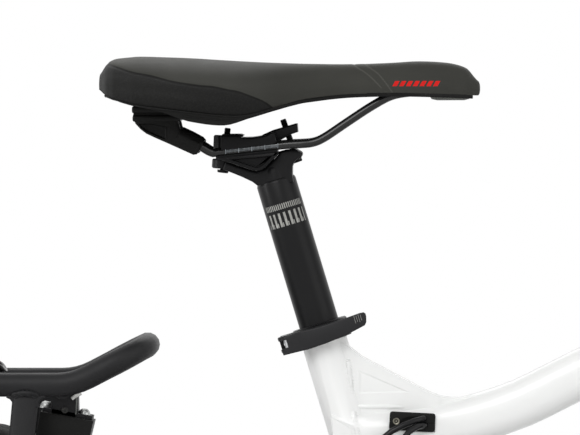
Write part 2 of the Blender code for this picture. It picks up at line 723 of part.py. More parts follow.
def make_collar_lever():
    route = [(-31, -17.5), (-24, -21.0), (-14, -25.6), (-2, -27.6), (12, -27.4), (25, -25.4), (35, -23.4)]
    points = smooth_route([by_collar(a * MM, b * MM) for a, b in route], 12 * MM)
    blade = swept(points, lambda t: ((15.2 - 2.4 * t) / 2 * MM, 2.0 * MM), 8, 3.2, SEAT_UP)
    half = 15.2 / 2 * MM
    cam = turned([(0, -half), (CAM_RADIUS, -half), (CAM_RADIUS, half), (0, half)], CAM_CENTRE, SEAT_UP, 16)
    eye_room = block(CAM_CENTRE + SEAT_FORWARD * -2 * MM, (13 * MM, 20 * MM, 6.6 * MM),
                     (SEAT_FORWARD, Y_AXIS, SEAT_UP))
    pin_hole = rod(CAM_CENTRE - SEAT_UP * 0.02, CAM_CENTRE + SEAT_UP * 0.02, 4 * MM + 2 * GAP)
    lever = cut(join(blade, cam), eye_room, pin_hole)
    lever_axis = pivot("lever_axis", CAM_CENTRE, frame_axis)
    piece("seat_collar_lever", lever, BLACK_SATIN, lever_axis)


def make_collar_pin():
    """The skewer through the collar's ears, its nut on the left, and the cross pin that the lever turns on."""
    left = by_collar(-28 * MM, 15.5 * MM)
    nut_seat = by_collar(-28 * MM, 9.5 * MM + GAP)
    skewer = rod(left, CAM_CENTRE, 5 * MM)
    nut = rod(nut_seat, left, 10 * MM, 6)
    cross = rod(CAM_CENTRE - SEAT_UP * 6.6 * MM, CAM_CENTRE + SEAT_UP * 6.6 * MM, 4 * MM)
    piece("seat_collar_pin", join(skewer, nut, cross), STEEL, frame_axis)


def make_saddle_group():
    make_seatpost()
    make_rail_cradle()
    make_rail_clamp()
    head_bolt("clamp_bolt_rear", REAR_BOLT, 8.8 * MM, 2.5 * MM)
    head_bolt("clamp_bolt_front", FRONT_BOLT, 7.6 * MM, 4 * MM)
    make_saddle()
    make_saddle_rails()
    make_rear_block()
    make_seat_collar()
    make_collar_lever()
    make_collar_pin()


# Frame: its tubes run between the seat tube's top, the crank axle, the rear axle and the head tube
TOP_TUBE_ROUTE = [(11, -88), (56, -84.4), (96, -78.4), (128, -70.9), (159, -60.1), (183, -48.4), (206, -36.8)]
TOP_TUBE_HEIGHT = (47 * MM, 38.5 * MM)          # at the seat tube, along the rest
TOP_TUBE_WIDTH = 42 * MM
GUSSET_OUTLINE = [(8, -8), (23, -15.8), (33.4, -23.9), (71.3, -43.7), (93.8, -55.4), (96, -72), (12, -92)]
GUSSET_RECESS = [(30.7, -33.8), (30.7, -52.7), (71.3, -51.8)]
GUSSET_WIDTH = 27 * MM
GUSSET_RECESS_DEPTH = 3 * MM
PORT_CENTRE = (72.8, -74.4)                     # forward and up from the seat tube's top, in millimetres
PORT_SIZE = (35.7 * MM, 15.7 * MM)
PORT_FLAT = TOP_TUBE_WIDTH / 2 - 1.6 * MM       # depth of the flat that the port cover lies on
DOWN_TUBE_LOW = BRACKET + vec(125 * MM, 0, 62 * MM)
DOWN_TUBE_HIGH = HEAD_BOTTOM + HEAD_UP * 62 * MM
DOWN_TUBE_UP = (DOWN_TUBE_HIGH - DOWN_TUBE_LOW).normalized()
DOWN_TUBE_OUT = vec(-DOWN_TUBE_UP.z, 0, DOWN_TUBE_UP.x)
DOWN_TUBE_SIZE = (64 * MM, 74 * MM)
BATTERY_LENGTH = 420 * MM
BATTERY_WIDTH = 50 * MM
BATTERY_START = 62 * MM                         # from the down tube's lower end
BATTERY_FLOOR = 2 * MM                          # from the down tube's centre line
BATTERY_TOP = 41 * MM
MOTOR_HALF_WIDTH = 40 * MM
ARCH_HALF_WIDTH = 36 * MM
MOTOR_OUTLINE = [(-62, -30), (-48, -62), (20, -80), (96, -68), (128, -25), (118, 30), (85, 62), (20, 70),
                 (-35, 60), (-62, 25)]
ARCH_OUTLINE = [(-78, -8), (-78, 34), (-48, 76), (18, 87), (92, 79), (136, 42), (147, -8)]
CHAINSTAY_ROUTE = [(-68, 33, 6), (-118, 37, 16), (-222, 41, 28), (-300, 48, 35), (-352, 58, 39), (-392, 69, 43)]
SEAT_STAY_ROUTE = [(352, 12, 672), (318, 34, 640), (270, 43, 600), (160, 50, 500), (60, 60, 425), (14, 69, 392)]
DROPOUT_OUTLINE = [(-16, -14), (18, -17), (84, -20), (98, -6), (92, 10), (72, 42), (34, 62), (4, 66), (-8, 52),
                   (-15, 12)]
STAND_AXIS = vec(0, 0.948, 0.319).normalized()
STAND_PIVOT = vec(70 * MM, 82 * MM, 318 * MM)
STAND_HEAD_DIAMETER = 28 * MM
STAND_PLATE = [(54, 304), (88, 304), (98, 344), (44, 344)]


def from_seat_top(forward, up, y=0.0):
    """A place given in millimetres from the seat tube's top."""
    return SEAT_TOP + vec(forward * MM, y, up * MM)


def grown(outline, distance):
    """An outline moved outwards by a distance, for corners listed either way round."""
    area = sum(a[0] * b[1] - b[0] * a[1] for a, b in zip(outline, outline[1:] + outline[:1]))
    turn = 1 if area > 0 else -1
    result = []
    for k, corner in enumerate(outline):
        here = Vector(corner)
        into = (here - Vector(outline[k - 1])).normalized()
        away = (Vector(outline[(k + 1) % len(outline)]) - here).normalized()
        normal_in = Vector((into.y, -into.x)) * turn
        normal_out = Vector((away.y, -away.x)) * turn
        middle = (normal_in + normal_out).normalized()
        moved = here + middle * distance / max(0.2, middle.dot(normal_in))
        result.append((moved.x, moved.y))
    return result


def bracket_plate(outline, thickness):
    """A plate in the bike's middle plane, from an outline in metres from the crank axle."""
    return plate(outline, BRACKET, thickness)


def motor_outline(extra=0.0):
    return grown(rounded_outline([(a * MM, b * MM) for a, b in MOTOR_OUTLINE], 16 * MM, 2), extra)


def bay_block(extra, floor, top):
    """The battery's box on the down tube, larger all round by extra."""
    centre = (DOWN_TUBE_LOW + DOWN_TUBE_UP * (BATTERY_START + BATTERY_LENGTH / 2)
              + DOWN_TUBE_OUT * (floor - extra + top) / 2)
    size = (BATTERY_LENGTH + 2 * extra, BATTERY_WIDTH + 2 * extra, top - floor + extra)
    return centre, size, (DOWN_TUBE_UP, Y_AXIS, DOWN_TUBE_OUT)


def make_frame():
    route = [from_seat_top(a, b) for a, b in TOP_TUBE_ROUTE]
    head_end = HEAD_TOP - HEAD_UP * 39 * MM
    route = smooth_route(route, 15 * MM) + [head_end]
    seat_height, height = TOP_TUBE_HEIGHT

    def top_section(t):
        share = max(0.0, 1 - 2.4 * t)
        return (TOP_TUBE_WIDTH / 2, (height + (seat_height - height) * share ** 2) / 2)

    top_tube = swept(route, top_section, 14, 2.7)
    gusset = plate([(a * MM, b * MM) for a, b in GUSSET_OUTLINE], SEAT_TOP, GUSSET_WIDTH)
    seat_tube = rod(BRACKET + SEAT_UP * 60 * MM, SEAT_TOP, SEAT_TUBE_DIAMETER, 24)
    head_tube = rod(HEAD_BOTTOM, HEAD_TOP, HEAD_TUBE_DIAMETER, 20)
    width, depth = DOWN_TUBE_SIZE
    down_route = [DOWN_TUBE_LOW - DOWN_TUBE_UP * 20 * MM, DOWN_TUBE_LOW + DOWN_TUBE_UP * 0.50,
                  DOWN_TUBE_HIGH]
    down_sizes = [(width / 2, depth / 2), (width / 2, depth / 2), (0.36 * width, 0.38 * depth)]
    rings = [oval(point, Y_AXIS, DOWN_TUBE_OUT, half[0], half[1], 16, 2.8)
             for point, half in zip(down_route, down_sizes)]
    down_tube = lofted(rings)
    arch = bracket_plate(rounded_outline([(a * MM, b * MM) for a, b in ARCH_OUTLINE], 14 * MM, 2),
                         2 * ARCH_HALF_WIDTH)
    bodies = [gusset, top_tube, head_tube, down_tube, arch]
    for side in (-1, 1):
        stay = smooth_route([BRACKET + vec(x * MM, side * y * MM, z * MM) for x, y, z in CHAINSTAY_ROUTE],
                            90 * MM)
        bodies.append(tapered(stay, (16 * MM, 26 * MM), (12 * MM, 18 * MM), 8))
        stay = smooth_route([vec(x * MM, side * y * MM, z * MM) for x, y, z in SEAT_STAY_ROUTE], 110 * MM)
        bodies.append(tapered(stay, (15 * MM, 18 * MM), (11 * MM, 14 * MM), 8))
        middle = REAR_AXLE + Y_AXIS * side * (DROPOUT_HALF_WIDTH + DROPOUT_THICKNESS / 2)
        bodies.append(plate([(a * MM, b * MM) for a, b in DROPOUT_OUTLINE], middle, DROPOUT_THICKNESS))
    bridge = rod(vec(318 * MM, -34 * MM, 640 * MM), vec(318 * MM, 34 * MM, 640 * MM), 14 * MM, 10)
    boss = rod(STAND_PIVOT - STAND_AXIS * 16 * MM, STAND_PIVOT, STAND_HEAD_DIAMETER, 14)
    stand_plate = side_plate([(a * MM, b * MM) for a, b in STAND_PLATE],
                             DROPOUT_HALF_WIDTH + DROPOUT_THICKNESS / 2, DROPOUT_THICKNESS - 0.4 * MM)
    frame = join(seat_tube, *bodies, bridge, stand_plate, boss)

    seat_bore = rod(SEAT_TOP - SEAT_UP * POST_BORE_DEPTH, SEAT_TOP + SEAT_UP * 0.02,
                    POST_DIAMETER + 2 * GAP, 24)
    head_bore = rod(HEAD_BOTTOM - HEAD_UP * 0.02, HEAD_TOP + HEAD_UP * 0.02, STEERER_DIAMETER + 2 * RUN, 16)
    crown_room = rod(HEAD_BOTTOM - HEAD_UP * 0.03, HEAD_BOTTOM, 90 * MM, 16)
    axle_hole = rod(REAR_AXLE - Y_AXIS * 0.1, REAR_AXLE + Y_AXIS * 0.1, AXLE_DIAMETER + 2 * GAP, 12)
    motor_room = bracket_plate(motor_outline(GAP), 0.2)
    bay = block(*bay_block(0.6 * MM, BATTERY_FLOOR, BATTERY_TOP + 20 * MM))
    recesses = []
    for side in (-1, 1):
        middle = SEAT_TOP + Y_AXIS * side * GUSSET_WIDTH / 2
        recesses.append(plate([(a * MM, b * MM) for a, b in GUSSET_RECESS], middle, 2 * GUSSET_RECESS_DEPTH))
    port_room = block(from_seat_top(*PORT_CENTRE, -PORT_FLAT - 5 * MM),
                      (PORT_SIZE[0] + 2 * GAP, 10 * MM, PORT_SIZE[1] + 2 * GAP))
    frame = cut(frame, seat_bore, crown_room, head_bore, axle_hole, motor_room, bay, *recesses, port_room)
    piece("frame", frame, WHITE_PAINT, frame_axis)


def make_port_cover():
    """The cable port's cover, with a scoop on its front half where the cables come out."""
    y = -PORT_FLAT - GAP - 1.7 * MM
    cover = block(from_seat_top(*PORT_CENTRE, y), (PORT_SIZE[0], 3.4 * MM, PORT_SIZE[1]), bevel=1.2 * MM)
    scoop = block(from_seat_top(PORT_CENTRE[0] + 4.0, PORT_CENTRE[1] + 0.3, y),
                  (18 * MM, 20 * MM, 11.6 * MM), bevel=1.5 * MM)
    piece("cable_port_cover", cut(cover, scoop), BLACK_PLASTIC, frame_axis)


CABLE_DIAMETER = 5 * MM
PORT_WALL = PORT_FLAT / MM + 0.3                # the cables start this far to the right, in millimetres
BRAKE_HOSE_ROUTE = [(401.8, -PORT_WALL - 0.3, 722.6), (400.8, -25.5, 722.2), (392, -30, 716), (377, -32, 703),
                    (366, -28.5, 686), (364, -25, 664), (366, -24.5, 640), (362, -21, 614), (350, -6, 594),
                    (335, 18, 578), (300, 46, 560), (235, 63, 533), (165, 66, 497), (98, 72, 443), (78, 63.5, 412)]
SHIFT_CABLE_ROUTE = [(402.3, -PORT_WALL - 0.3, 716.7), (401.3, -25.5, 715.8), (394, -32, 709), (381, -37, 692),
                     (360, -40, 666), (330, -49.5, 634), (272, -57.5, 588), (165, -64, 495), (80, -72, 428),
                     (40, -81, 388)]


def make_rear_cables():
    for name, route in (("rear_brake_hose", BRAKE_HOSE_ROUTE), ("rear_shift_cable", SHIFT_CABLE_ROUTE)):
        points = smooth_route([vec(x * MM, y * MM, z * MM) for x, y, z in route], 15 * MM)
        cord(name, points, CABLE_DIAMETER, BLACK_PLASTIC, frame_axis)


# Rear rack, mudguard, its bracket and the rear light
RACK_HEIGHT = 749.4 * MM
RACK_REAR = -318 * MM
RACK_BEND = 131 * MM
RACK_BEND_RADIUS = 55 * MM
HOOP_FRONT = vec(186.5 * MM, 0, 778.5 * MM)
HOOP_CORNER = 34 * MM
CLIP_HINGE = vec(-235 * MM, 0, RACK_HEIGHT + 13 * MM)
RACK_STAY_ROUTE = [(93.9, 54, 740), (90.5, 55.5, 706), (80, 62, 620), (62, 71, 520), (42, 77, 440), (36, 79, 408)]
FLANGE_REAR = vec(103.7 * MM, 0, 727.7 * MM)
FLANGE_FRONT = vec(145.4 * MM, 0, 720.0 * MM)
FLANGE_THICKNESS = 3 * MM
MUDGUARD_FIRST = 16             # degrees from the front round over the top
MUDGUARD_LAST = 203
MUDGUARD_DROP = 12 * MM


def rack_loop():
    """The rack's rails as one closed line: along both sides, round the raised hoop and round the rear."""
    half = RACK_HALF_WIDTH
    rise = math.atan2(HOOP_FRONT.z - RACK_HEIGHT, HOOP_FRONT.x - RACK_BEND)
    slope = vec(math.cos(rise), 0, math.sin(rise))
    start = vec(RACK_BEND, -half, RACK_HEIGHT) - X_AXIS * RACK_BEND_RADIUS * math.tan(rise / 2)
    bend_centre = start + Z_AXIS * RACK_BEND_RADIUS
    route = [vec(RACK_REAR + HOOP_CORNER, -half, RACK_HEIGHT), start - X_AXIS * 50 * MM]
    route += arc_points(bend_centre, RACK_BEND_RADIUS, -90, -90 + math.degrees(rise), 4)
    corner = HOOP_FRONT - slope * HOOP_CORNER - Y_AXIS * (half - HOOP_CORNER)
    front = arc_points(corner, HOOP_CORNER, -90, 0, 7, slope, Y_AXIS)
    front += [vec(p.x, -p.y, p.z) for p in reversed(front)]
    left = [vec(p.x, -p.y, p.z) for p in reversed(route)]
    rear_corner = vec(RACK_REAR + HOOP_CORNER, half - HOOP_CORNER, RACK_HEIGHT)
    rear = arc_points(rear_corner, HOOP_CORNER, 90, 180, 4, X_AXIS, Y_AXIS)[1:]
    rear += [vec(p.x, -p.y, p.z) for p in reversed(rear)]
    return route + front + left + rear


def closed_tube(points, diameter, sides, hint):
    rings = []
    count = len(points)
    for k, point in enumerate(points):
        tangent = (points[(k + 1) % count] - points[k - 1]).normalized()
        across = (hint - tangent * hint.dot(tangent)).normalized()
        rings.append(oval(point, across, tangent.cross(across), diameter / 2, diameter / 2, sides))
    return lofted(rings, closed=True)


def mudguard_turn(outer, inner, width, centre, first, last, steps, drop):
    """A curved gutter round a wheel, from an arched section swept between two angles."""
    rings = []
    for k in range(steps + 1):
        angle = math.radians(first + (last - first) * k / steps)
        out = vec(math.cos(angle), 0, math.sin(angle))
        ring = []
        for share in (-1, -0.62, 0, 0.62, 1):
            ring.append(centre + out * (outer - drop * abs(share) ** 2.5) + Y_AXIS * share * width / 2)
        for share in (1, 0.62, 0, -0.62, -1):
            y = share * (width / 2 - (outer - inner))
            ring.append(centre + out * (inner - drop * abs(share) ** 2.5) + Y_AXIS * y)
        rings.append(ring)
    return lofted(rings)


def make_rear_mudguard():
    shell = mudguard_turn(MUDGUARD_RADIUS, MUDGUARD_RADIUS - MUDGUARD_WALL, MUDGUARD_WIDTH, REAR_AXLE,
                          MUDGUARD_FIRST, MUDGUARD_LAST, 24, MUDGUARD_DROP)
    piece("rear_mudguard", shell, BLACK_PLASTIC, frame_axis)


def flange_axes():
    along = (FLANGE_FRONT - FLANGE_REAR).normalized()
    return (along, Y_AXIS, along.cross(Y_AXIS))


def make_rack():
    rails = closed_tube(rack_loop(), RACK_TUBE, 14, Z_AXIS)
    parts = []
    for side in (-1, 1):
        stay = smooth_route([vec(x * MM, side * y * MM, z * MM) for x, y, z in RACK_STAY_ROUTE], 100 * MM)
        parts.append(tapered(stay, (14 * MM, 21 * MM), (6 * MM, 17 * MM), 12, 3.0))
        strut = [vec(-150 * MM, side * 54 * MM, RACK_HEIGHT), vec(-88 * MM, side * 60 * MM, 640 * MM),
                 vec(48 * MM, side * 76 * MM, 455 * MM)]
        parts.append(tapered(smooth_route(strut, 120 * MM), (9 * MM, 12 * MM), (7 * MM, 11 * MM), 6))
        tab = [(22, 418), (46, 414), (44, 396), (36, 388), (26, 392)]
        parts.append(side_plate([(a * MM, b * MM) for a, b in tab],
                                side * (DROPOUT_HALF_WIDTH + DROPOUT_THICKNESS + GAP + 3.5 * MM), 7 * MM))
    for x, rise in ((-235, -1.0), (-88, -1.0), (60, 4.2)):
        place = vec(x * MM, 0, RACK_HEIGHT + rise * MM)
        parts.append(rod(place - Y_AXIS * RACK_HALF_WIDTH, place + Y_AXIS * RACK_HALF_WIDTH, 10 * MM, 8))
    for side in (-1, 1):
        parts.append(block(CLIP_HINGE + vec(0, side * 22 * MM, -5 * MM), (13 * MM, 6 * MM, 22 * MM)))
    parts.append(rod(vec(122.6 * MM, -RACK_HALF_WIDTH, 744 * MM), vec(122.6 * MM, RACK_HALF_WIDTH, 744 * MM),
                     12 * MM, 8))
    middle = (FLANGE_FRONT + FLANGE_REAR) / 2
    along, _, up = flange_axes()
    parts.append(block(middle + up * FLANGE_THICKNESS / 2,
                       ((FLANGE_FRONT - FLANGE_REAR).length - 3 * MM, 32 * MM, FLANGE_THICKNESS),
                       flange_axes()))
    parts.append(block(middle + up * 12.5 * MM, (18.8 * MM, 30 * MM, 22 * MM), flange_axes()))
    parts.append(block(vec(RACK_REAR - RACK_TUBE / 2 + 2 * MM, 0, RACK_HEIGHT - 14 * MM),
                       (4 * MM, 60 * MM, 34 * MM)))
    hinge_room = rod(CLIP_HINGE - Y_AXIS * 0.05, CLIP_HINGE + Y_AXIS * 0.05, 7 * MM + 2 * GAP)
    piece("rear_rack", cut(join(rails, *parts), hinge_room), BLACK_POWDER, frame_axis)


def make_mudguard_bracket():
    """The block that the rack's flange is bolted to, shaped to the mudguard under it."""
    outline = [(FLANGE_REAR.x, FLANGE_REAR.z - GAP), (FLANGE_FRONT.x, FLANGE_FRONT.z - GAP),
               (142.6 * MM, 708 * MM), (138.5 * MM, 690 * MM), (99 * MM, 700 * MM)]
    body = side_plate(outline, 0.0, 44 * MM)
    under = mudguard_turn(MUDGUARD_RADIUS + GAP, MUDGUARD_RADIUS - 40 * MM, MUDGUARD_WIDTH + 2 * GAP, REAR_AXLE,
                          58, 88, 5, MUDGUARD_DROP)
    piece("mudguard_bracket", cut(body, under), BLACK_PLASTIC, frame_axis)


def make_rear_light():
    seat = RACK_REAR - RACK_TUBE / 2 - GAP
    housing = block(vec(seat - 9 * MM, 0, RACK_HEIGHT - 14 * MM), (18 * MM, 84 * MM, 40 * MM), bevel=5 * MM,
                    segments=2)
    piece("rear_light", housing, RED_LENS, frame_axis)


def make_spring_clip():
    """The rack's sprung bail: a wire loop hinged at the rear that presses down on a load."""
    half = 33 * MM
    up = CLIP_HINGE.z
    rear = CLIP_HINGE.x
    route = [vec(rear, half, up), vec(-120 * MM, half, up + 0.6 * MM), vec(40 * MM, half - 4 * MM, up + 0.6 * MM),
             vec(64 * MM, half - 10 * MM, up), vec(75 * MM, 12 * MM, up), vec(76 * MM, 0, up)]
    half_route = smooth_route(route, 50 * MM)
    mirrored = [vec(p.x, -p.y, p.z) for p in reversed(half_route)][1:]
    wire = round_tube(half_route + mirrored, 6 * MM, 8, Z_AXIS)
    clip_axis = pivot("spring_clip_axis", CLIP_HINGE, frame_axis)
    hinge = rod(CLIP_HINGE - Y_AXIS * (half + 4 * MM), CLIP_HINGE + Y_AXIS * (half + 4 * MM), 7 * MM)
    piece("spring_clip", join(wire, hinge), BLACK_GLOSS, clip_axis, 60)


def make_frame_group():
    make_frame()
    make_port_cover()
    make_rear_cables()
    make_rack()
    make_rear_mudguard()
    make_mudguard_bracket()
    make_rear_light()
    make_spring_clip()


# Motor, battery, cranks and chain
MOTOR_COVER_THICKNESS = 5 * MM
CRANK_AXLE_DIAMETER = 20 * MM
CRANK_ARM_THICKNESS = 13 * MM
SPINDLE_DIAMETER = 10 * MM
PEDAL_SIZE = (94 * MM, 96 * MM, 24 * MM)
CHAIN_FORWARD = (BRACKET - REAR_AXLE).normalized()
CHAIN_UP = vec(-CHAIN_FORWARD.z, 0, CHAIN_FORWARD.x)
CHAIN_LEAN = math.asin((RING_RADIUS - SPROCKET_RADIUS) / CHAINSTAY)
FRONT_WRAP = RING_RADIUS * (math.pi + 2 * CHAIN_LEAN)
STRAIGHT_RUN = CHAINSTAY * math.cos(CHAIN_LEAN)
REAR_WRAP = SPROCKET_RADIUS * (math.pi - 2 * CHAIN_LEAN)


def crank_hole(extra):
    return rod(BRACKET - Y_AXIS * 0.12, BRACKET + Y_AXIS * 0.12, CRANK_AXLE_DIAMETER + 2 * extra, 16)


def make_motor():
    body = bracket_plate(motor_outline(), 2 * MOTOR_HALF_WIDTH)
    boss = rod(BRACKET - Y_AXIS * (MOTOR_HALF_WIDTH + 2 * MM), BRACKET + Y_AXIS * (MOTOR_HALF_WIDTH + 6 * MM),
               50 * MM, 20)
    piece("motor", cut(join(body, boss), crank_hole(RUN)), GREY_PLASTIC, frame_axis)
    outline = grown(rounded_outline([(a * MM, b * MM) for a, b in MOTOR_OUTLINE], 16 * MM, 2), -7 * MM)
    y = -(MOTOR_HALF_WIDTH + GAP + MOTOR_COVER_THICKNESS / 2)
    cover = plate(outline, BRACKET + Y_AXIS * y, MOTOR_COVER_THICKNESS)
    bmesh.ops.bevel(cover, geom=[e for e in cover.edges if all(v.co.y < y for v in e.verts)], offset=1.8 * MM,
                    segments=1, affect="EDGES")
    room = rod(BRACKET - Y_AXIS * 0.08, BRACKET, 50 * MM + 2 * RUN, 20)
    piece("motor_cover", cut(cover, room), BLACK_PLASTIC, frame_axis)


def make_battery():
    body = block(*bay_block(0.0, BATTERY_FLOOR + GAP, BATTERY_TOP), bevel=5 * MM)
    grip_place = DOWN_TUBE_LOW + DOWN_TUBE_UP * (BATTERY_START + 0.36) + DOWN_TUBE_OUT * (BATTERY_TOP + 3 * MM)
    grip = rod(grip_place - Y_AXIS * 0.04, grip_place + Y_AXIS * 0.04, 16 * MM, 12)
    battery_axis = pivot("battery_axis", DOWN_TUBE_LOW + DOWN_TUBE_UP * BATTERY_START, frame_axis)
    piece("battery", cut(body, grip), BLACK_PLASTIC, battery_axis)


def make_crank(side, name, pedal_name):
    """side is -1 on the right, whose arm points forwards at rest, and 1 on the left."""
    reach = vec(-side, 0, 0)
    end = BRACKET + reach * CRANK_LENGTH
    middle = Y_AXIS * side * CRANK_OFFSET
    rings = []
    for share, width in ((-0.09, 24), (-0.03, 36), (0.04, 37), (0.3, 27), (0.9, 25), (1.0, 26), (1.06, 18)):
        centre = BRACKET + reach * CRANK_LENGTH * share + middle
        thickness = CRANK_ARM_THICKNESS * (1.0 if share < 0.5 else 0.85)
        rings.append(oval(centre, Z_AXIS, Y_AXIS, width / 2 * MM, thickness / 2, 8, 3.0))
    arm = lofted(rings)
    hole = rod(BRACKET, BRACKET + Y_AXIS * side * 0.12, CRANK_AXLE_DIAMETER - 4 * MM + 2 * GAP, 16)
    spindle = rod(end + middle, end + Y_AXIS * side * (PEDAL_OFFSET + PEDAL_SIZE[1] / 2 - 6 * MM),
                  SPINDLE_DIAMETER, 12)
    collar = rod(end + middle, end + Y_AXIS * side * (PEDAL_OFFSET - PEDAL_SIZE[1] / 2 - GAP), 15 * MM, 12)
    piece(name, join(cut(arm, hole), spindle, collar), BLACK_SATIN, crank_axis)
    place = end + Y_AXIS * side * PEDAL_OFFSET
    body = block(place, PEDAL_SIZE, bevel=5 * MM)
    windows = [block(place + vec(x * 28 * MM, y * 23 * MM, 0), (26 * MM, 33 * MM, 60 * MM))
               for x in (-1, 1) for y in (-1, 1)]
    bore = rod(place - Y_AXIS * side * 0.1, place + Y_AXIS * side * (PEDAL_SIZE[1] / 2 - 5 * MM),
               SPINDLE_DIAMETER + 2 * GAP, 12)
    pedal_axis = pivot(pedal_name + "_axis", place, crank_axis)
    piece(pedal_name, cut(body, bore, *windows), BLACK_PLASTIC, pedal_axis)


def make_crank_axle():
    """The axle through the motor, with a narrower seat for each arm."""
    seat = CRANK_AXLE_DIAMETER / 2 - 2 * MM
    shoulder = CRANK_OFFSET - CRANK_ARM_THICKNESS / 2 - GAP
    tip = CRANK_OFFSET + CRANK_ARM_THICKNESS / 2 - 1 * MM
    full = CRANK_AXLE_DIAMETER / 2
    profile = [(0, -tip), (seat, -tip), (seat, -shoulder), (full, -shoulder), (full, shoulder), (seat, shoulder),
               (seat, tip), (0, tip)]
    piece("crank_axle", turned(profile, BRACKET, Y_AXIS, 16), STEEL, crank_axis)


def toothed_plate(centre, teeth, radius, first_tooth):
    return plate(toothed_outline(teeth, radius, first_tooth), centre - Y_AXIS * CHAIN_LINE, TOOTH_THICKNESS,
                 CHAIN_FORWARD, CHAIN_UP)


def make_chainring():
    step = 2 * math.pi / CHAINRING_TEETH
    disc = toothed_plate(BRACKET, CHAINRING_TEETH, RING_RADIUS, math.pi / 2 + CHAIN_LEAN + step / 2)
    hub = rod(BRACKET - Y_AXIS * (CHAIN_LINE - 3 * MM), BRACKET - Y_AXIS * (CHAIN_LINE + 5 * MM), 40 * MM, 16)
    windows = []
    for k in range(5):
        angle = 2 * math.pi * k / 5 + 0.3
        place = BRACKET + (CHAIN_FORWARD * math.cos(angle) + CHAIN_UP * math.sin(angle)) * 41 * MM
        windows.append(rod(place - Y_AXIS * 0.04, place - Y_AXIS * 0.07, 32 * MM, 8))
    piece("chainring", cut(join(disc, hub), crank_hole(GAP), *windows), BLACK_SATIN, crank_axis)


def make_chain_guard():
    inner = -(CHAIN_LINE + 6 * MM)
    ring = turned([(58 * MM, -1 * MM), (85 * MM, -1 * MM), (85 * MM, 1 * MM), (58 * MM, 1 * MM)],
                  BRACKET + Y_AXIS * inner, Y_AXIS, 32, closed=True)
    pegs = []
    for k in range(5):
        angle = 2 * math.pi * (k + 0.5) / 5 + 0.3
        place = BRACKET + (CHAIN_FORWARD * math.cos(angle) + CHAIN_UP * math.sin(angle)) * 60.5 * MM
        pegs.append(rod(place + Y_AXIS * inner, place - Y_AXIS * (CHAIN_LINE + TOOTH_THICKNESS / 2 + GAP),
                        5 * MM, 6))
    piece("chain_guard", join(ring, *pegs), BLACK_PLASTIC, crank_axis)


def make_rear_sprocket():
    step = 2 * math.pi / SPROCKET_TEETH
    start = FRONT_WRAP + STRAIGHT_RUN
    first_pin = math.ceil(start / LINK_PITCH) * LINK_PITCH - start
    first = -(math.pi / 2 + CHAIN_LEAN) - first_pin / SPROCKET_RADIUS + step / 2
    disc = toothed_plate(REAR_AXLE, SPROCKET_TEETH, SPROCKET_RADIUS, first)
    sleeve = rod(REAR_AXLE - Y_AXIS * (CHAIN_LINE - 5 * MM), REAR_AXLE - Y_AXIS * (CHAIN_LINE + 8 * MM),
                 38 * MM, 20)
    bore = rod(REAR_AXLE - Y_AXIS * 0.04, REAR_AXLE - Y_AXIS * 0.07, AXLE_DIAMETER + 2 * GAP, 16)
    piece("rear_sprocket", cut(join(disc, sleeve), bore), STEEL, rear_axis)


def chain_station(s):
    """The chain line's point and outward direction, s metres on from the chainring's upper tangent point."""
    def out(angle):
        return CHAIN_FORWARD * math.cos(angle) + CHAIN_UP * math.sin(angle)
    corner = math.pi / 2 + CHAIN_LEAN
    s %= FRONT_WRAP + REAR_WRAP + 2 * STRAIGHT_RUN
    if s < FRONT_WRAP:
        direction = out(corner - s / RING_RADIUS)
        return BRACKET + direction * RING_RADIUS, direction
    s -= FRONT_WRAP
    if s < STRAIGHT_RUN:
        direction = out(-corner)
        start = BRACKET + direction * RING_RADIUS
        stop = REAR_AXLE + direction * SPROCKET_RADIUS
        return start + (stop - start) * s / STRAIGHT_RUN, direction
    s -= STRAIGHT_RUN
    if s < REAR_WRAP:
        direction = out(-corner - s / SPROCKET_RADIUS)
        return REAR_AXLE + direction * SPROCKET_RADIUS, direction
    s -= REAR_WRAP
    direction = out(corner)
    start = REAR_AXLE + direction * SPROCKET_RADIUS
    stop = BRACKET + direction * RING_RADIUS
    return start + (stop - start) * s / STRAIGHT_RUN, direction


def in_gear(s):
    """Whether the chain is on the teeth there, or within four links of them."""
    s %= CHAIN_LINKS * LINK_PITCH
    margin = 4 * LINK_PITCH
    rear = FRONT_WRAP + STRAIGHT_RUN
    at_front = s < FRONT_WRAP + margin or s > CHAIN_LINKS * LINK_PITCH - margin
    return at_front or rear - margin < s < rear + REAR_WRAP + margin


def chain_corners(bm, s):
    """Eight corners of the chain's cross-section: four across the bike, each above and below the chain line."""
    inner = CHAIN_INNER_WIDTH / 2
    outer = inner + CHAIN_PLATE
    point, out = chain_station(s)
    corners = []
    for z in (CHAIN_HEIGHT / 2, -CHAIN_HEIGHT / 2):
        for y in (-outer, -inner, inner, outer):
            corners.append(bm.verts.new(point + out * z + Y_AXIS * (y - CHAIN_LINE)))
    return corners


def make_chain():
    """Two rows of link plates joined by a roller at every pin, so the teeth stand in the gaps between. Away
    from the teeth the gaps are left closed."""
    bm = bmesh.new()
    stations = []
    gaps = []
    for k in range(CHAIN_LINKS):
        s = k * LINK_PITCH
        if in_gear(s):
            stations.append(chain_corners(bm, s - ROLLER_HALF_LENGTH))
            stations.append(chain_corners(bm, s + ROLLER_HALF_LENGTH))
            gaps += [False, in_gear(s + LINK_PITCH)]
        elif k % 6 == 0:
            stations.append(chain_corners(bm, s))
            gaps.append(False)
    for k, here in enumerate(stations):
        ahead = stations[(k + 1) % len(stations)]
        faces = [(0, 4), (7, 3), (1, 0), (4, 5), (3, 2), (6, 7)]
        faces += [(5, 1), (2, 6)] if gaps[k] else [(2, 1), (5, 6)]
        for one, two in faces:
            bm.faces.new((here[one], here[two], ahead[two], ahead[one]))
        if gaps[k] != gaps[k - 1]:
            bm.faces.new((here[1], here[2], here[6], here[5]))
    piece("chain", bm, STEEL, crank_axis)


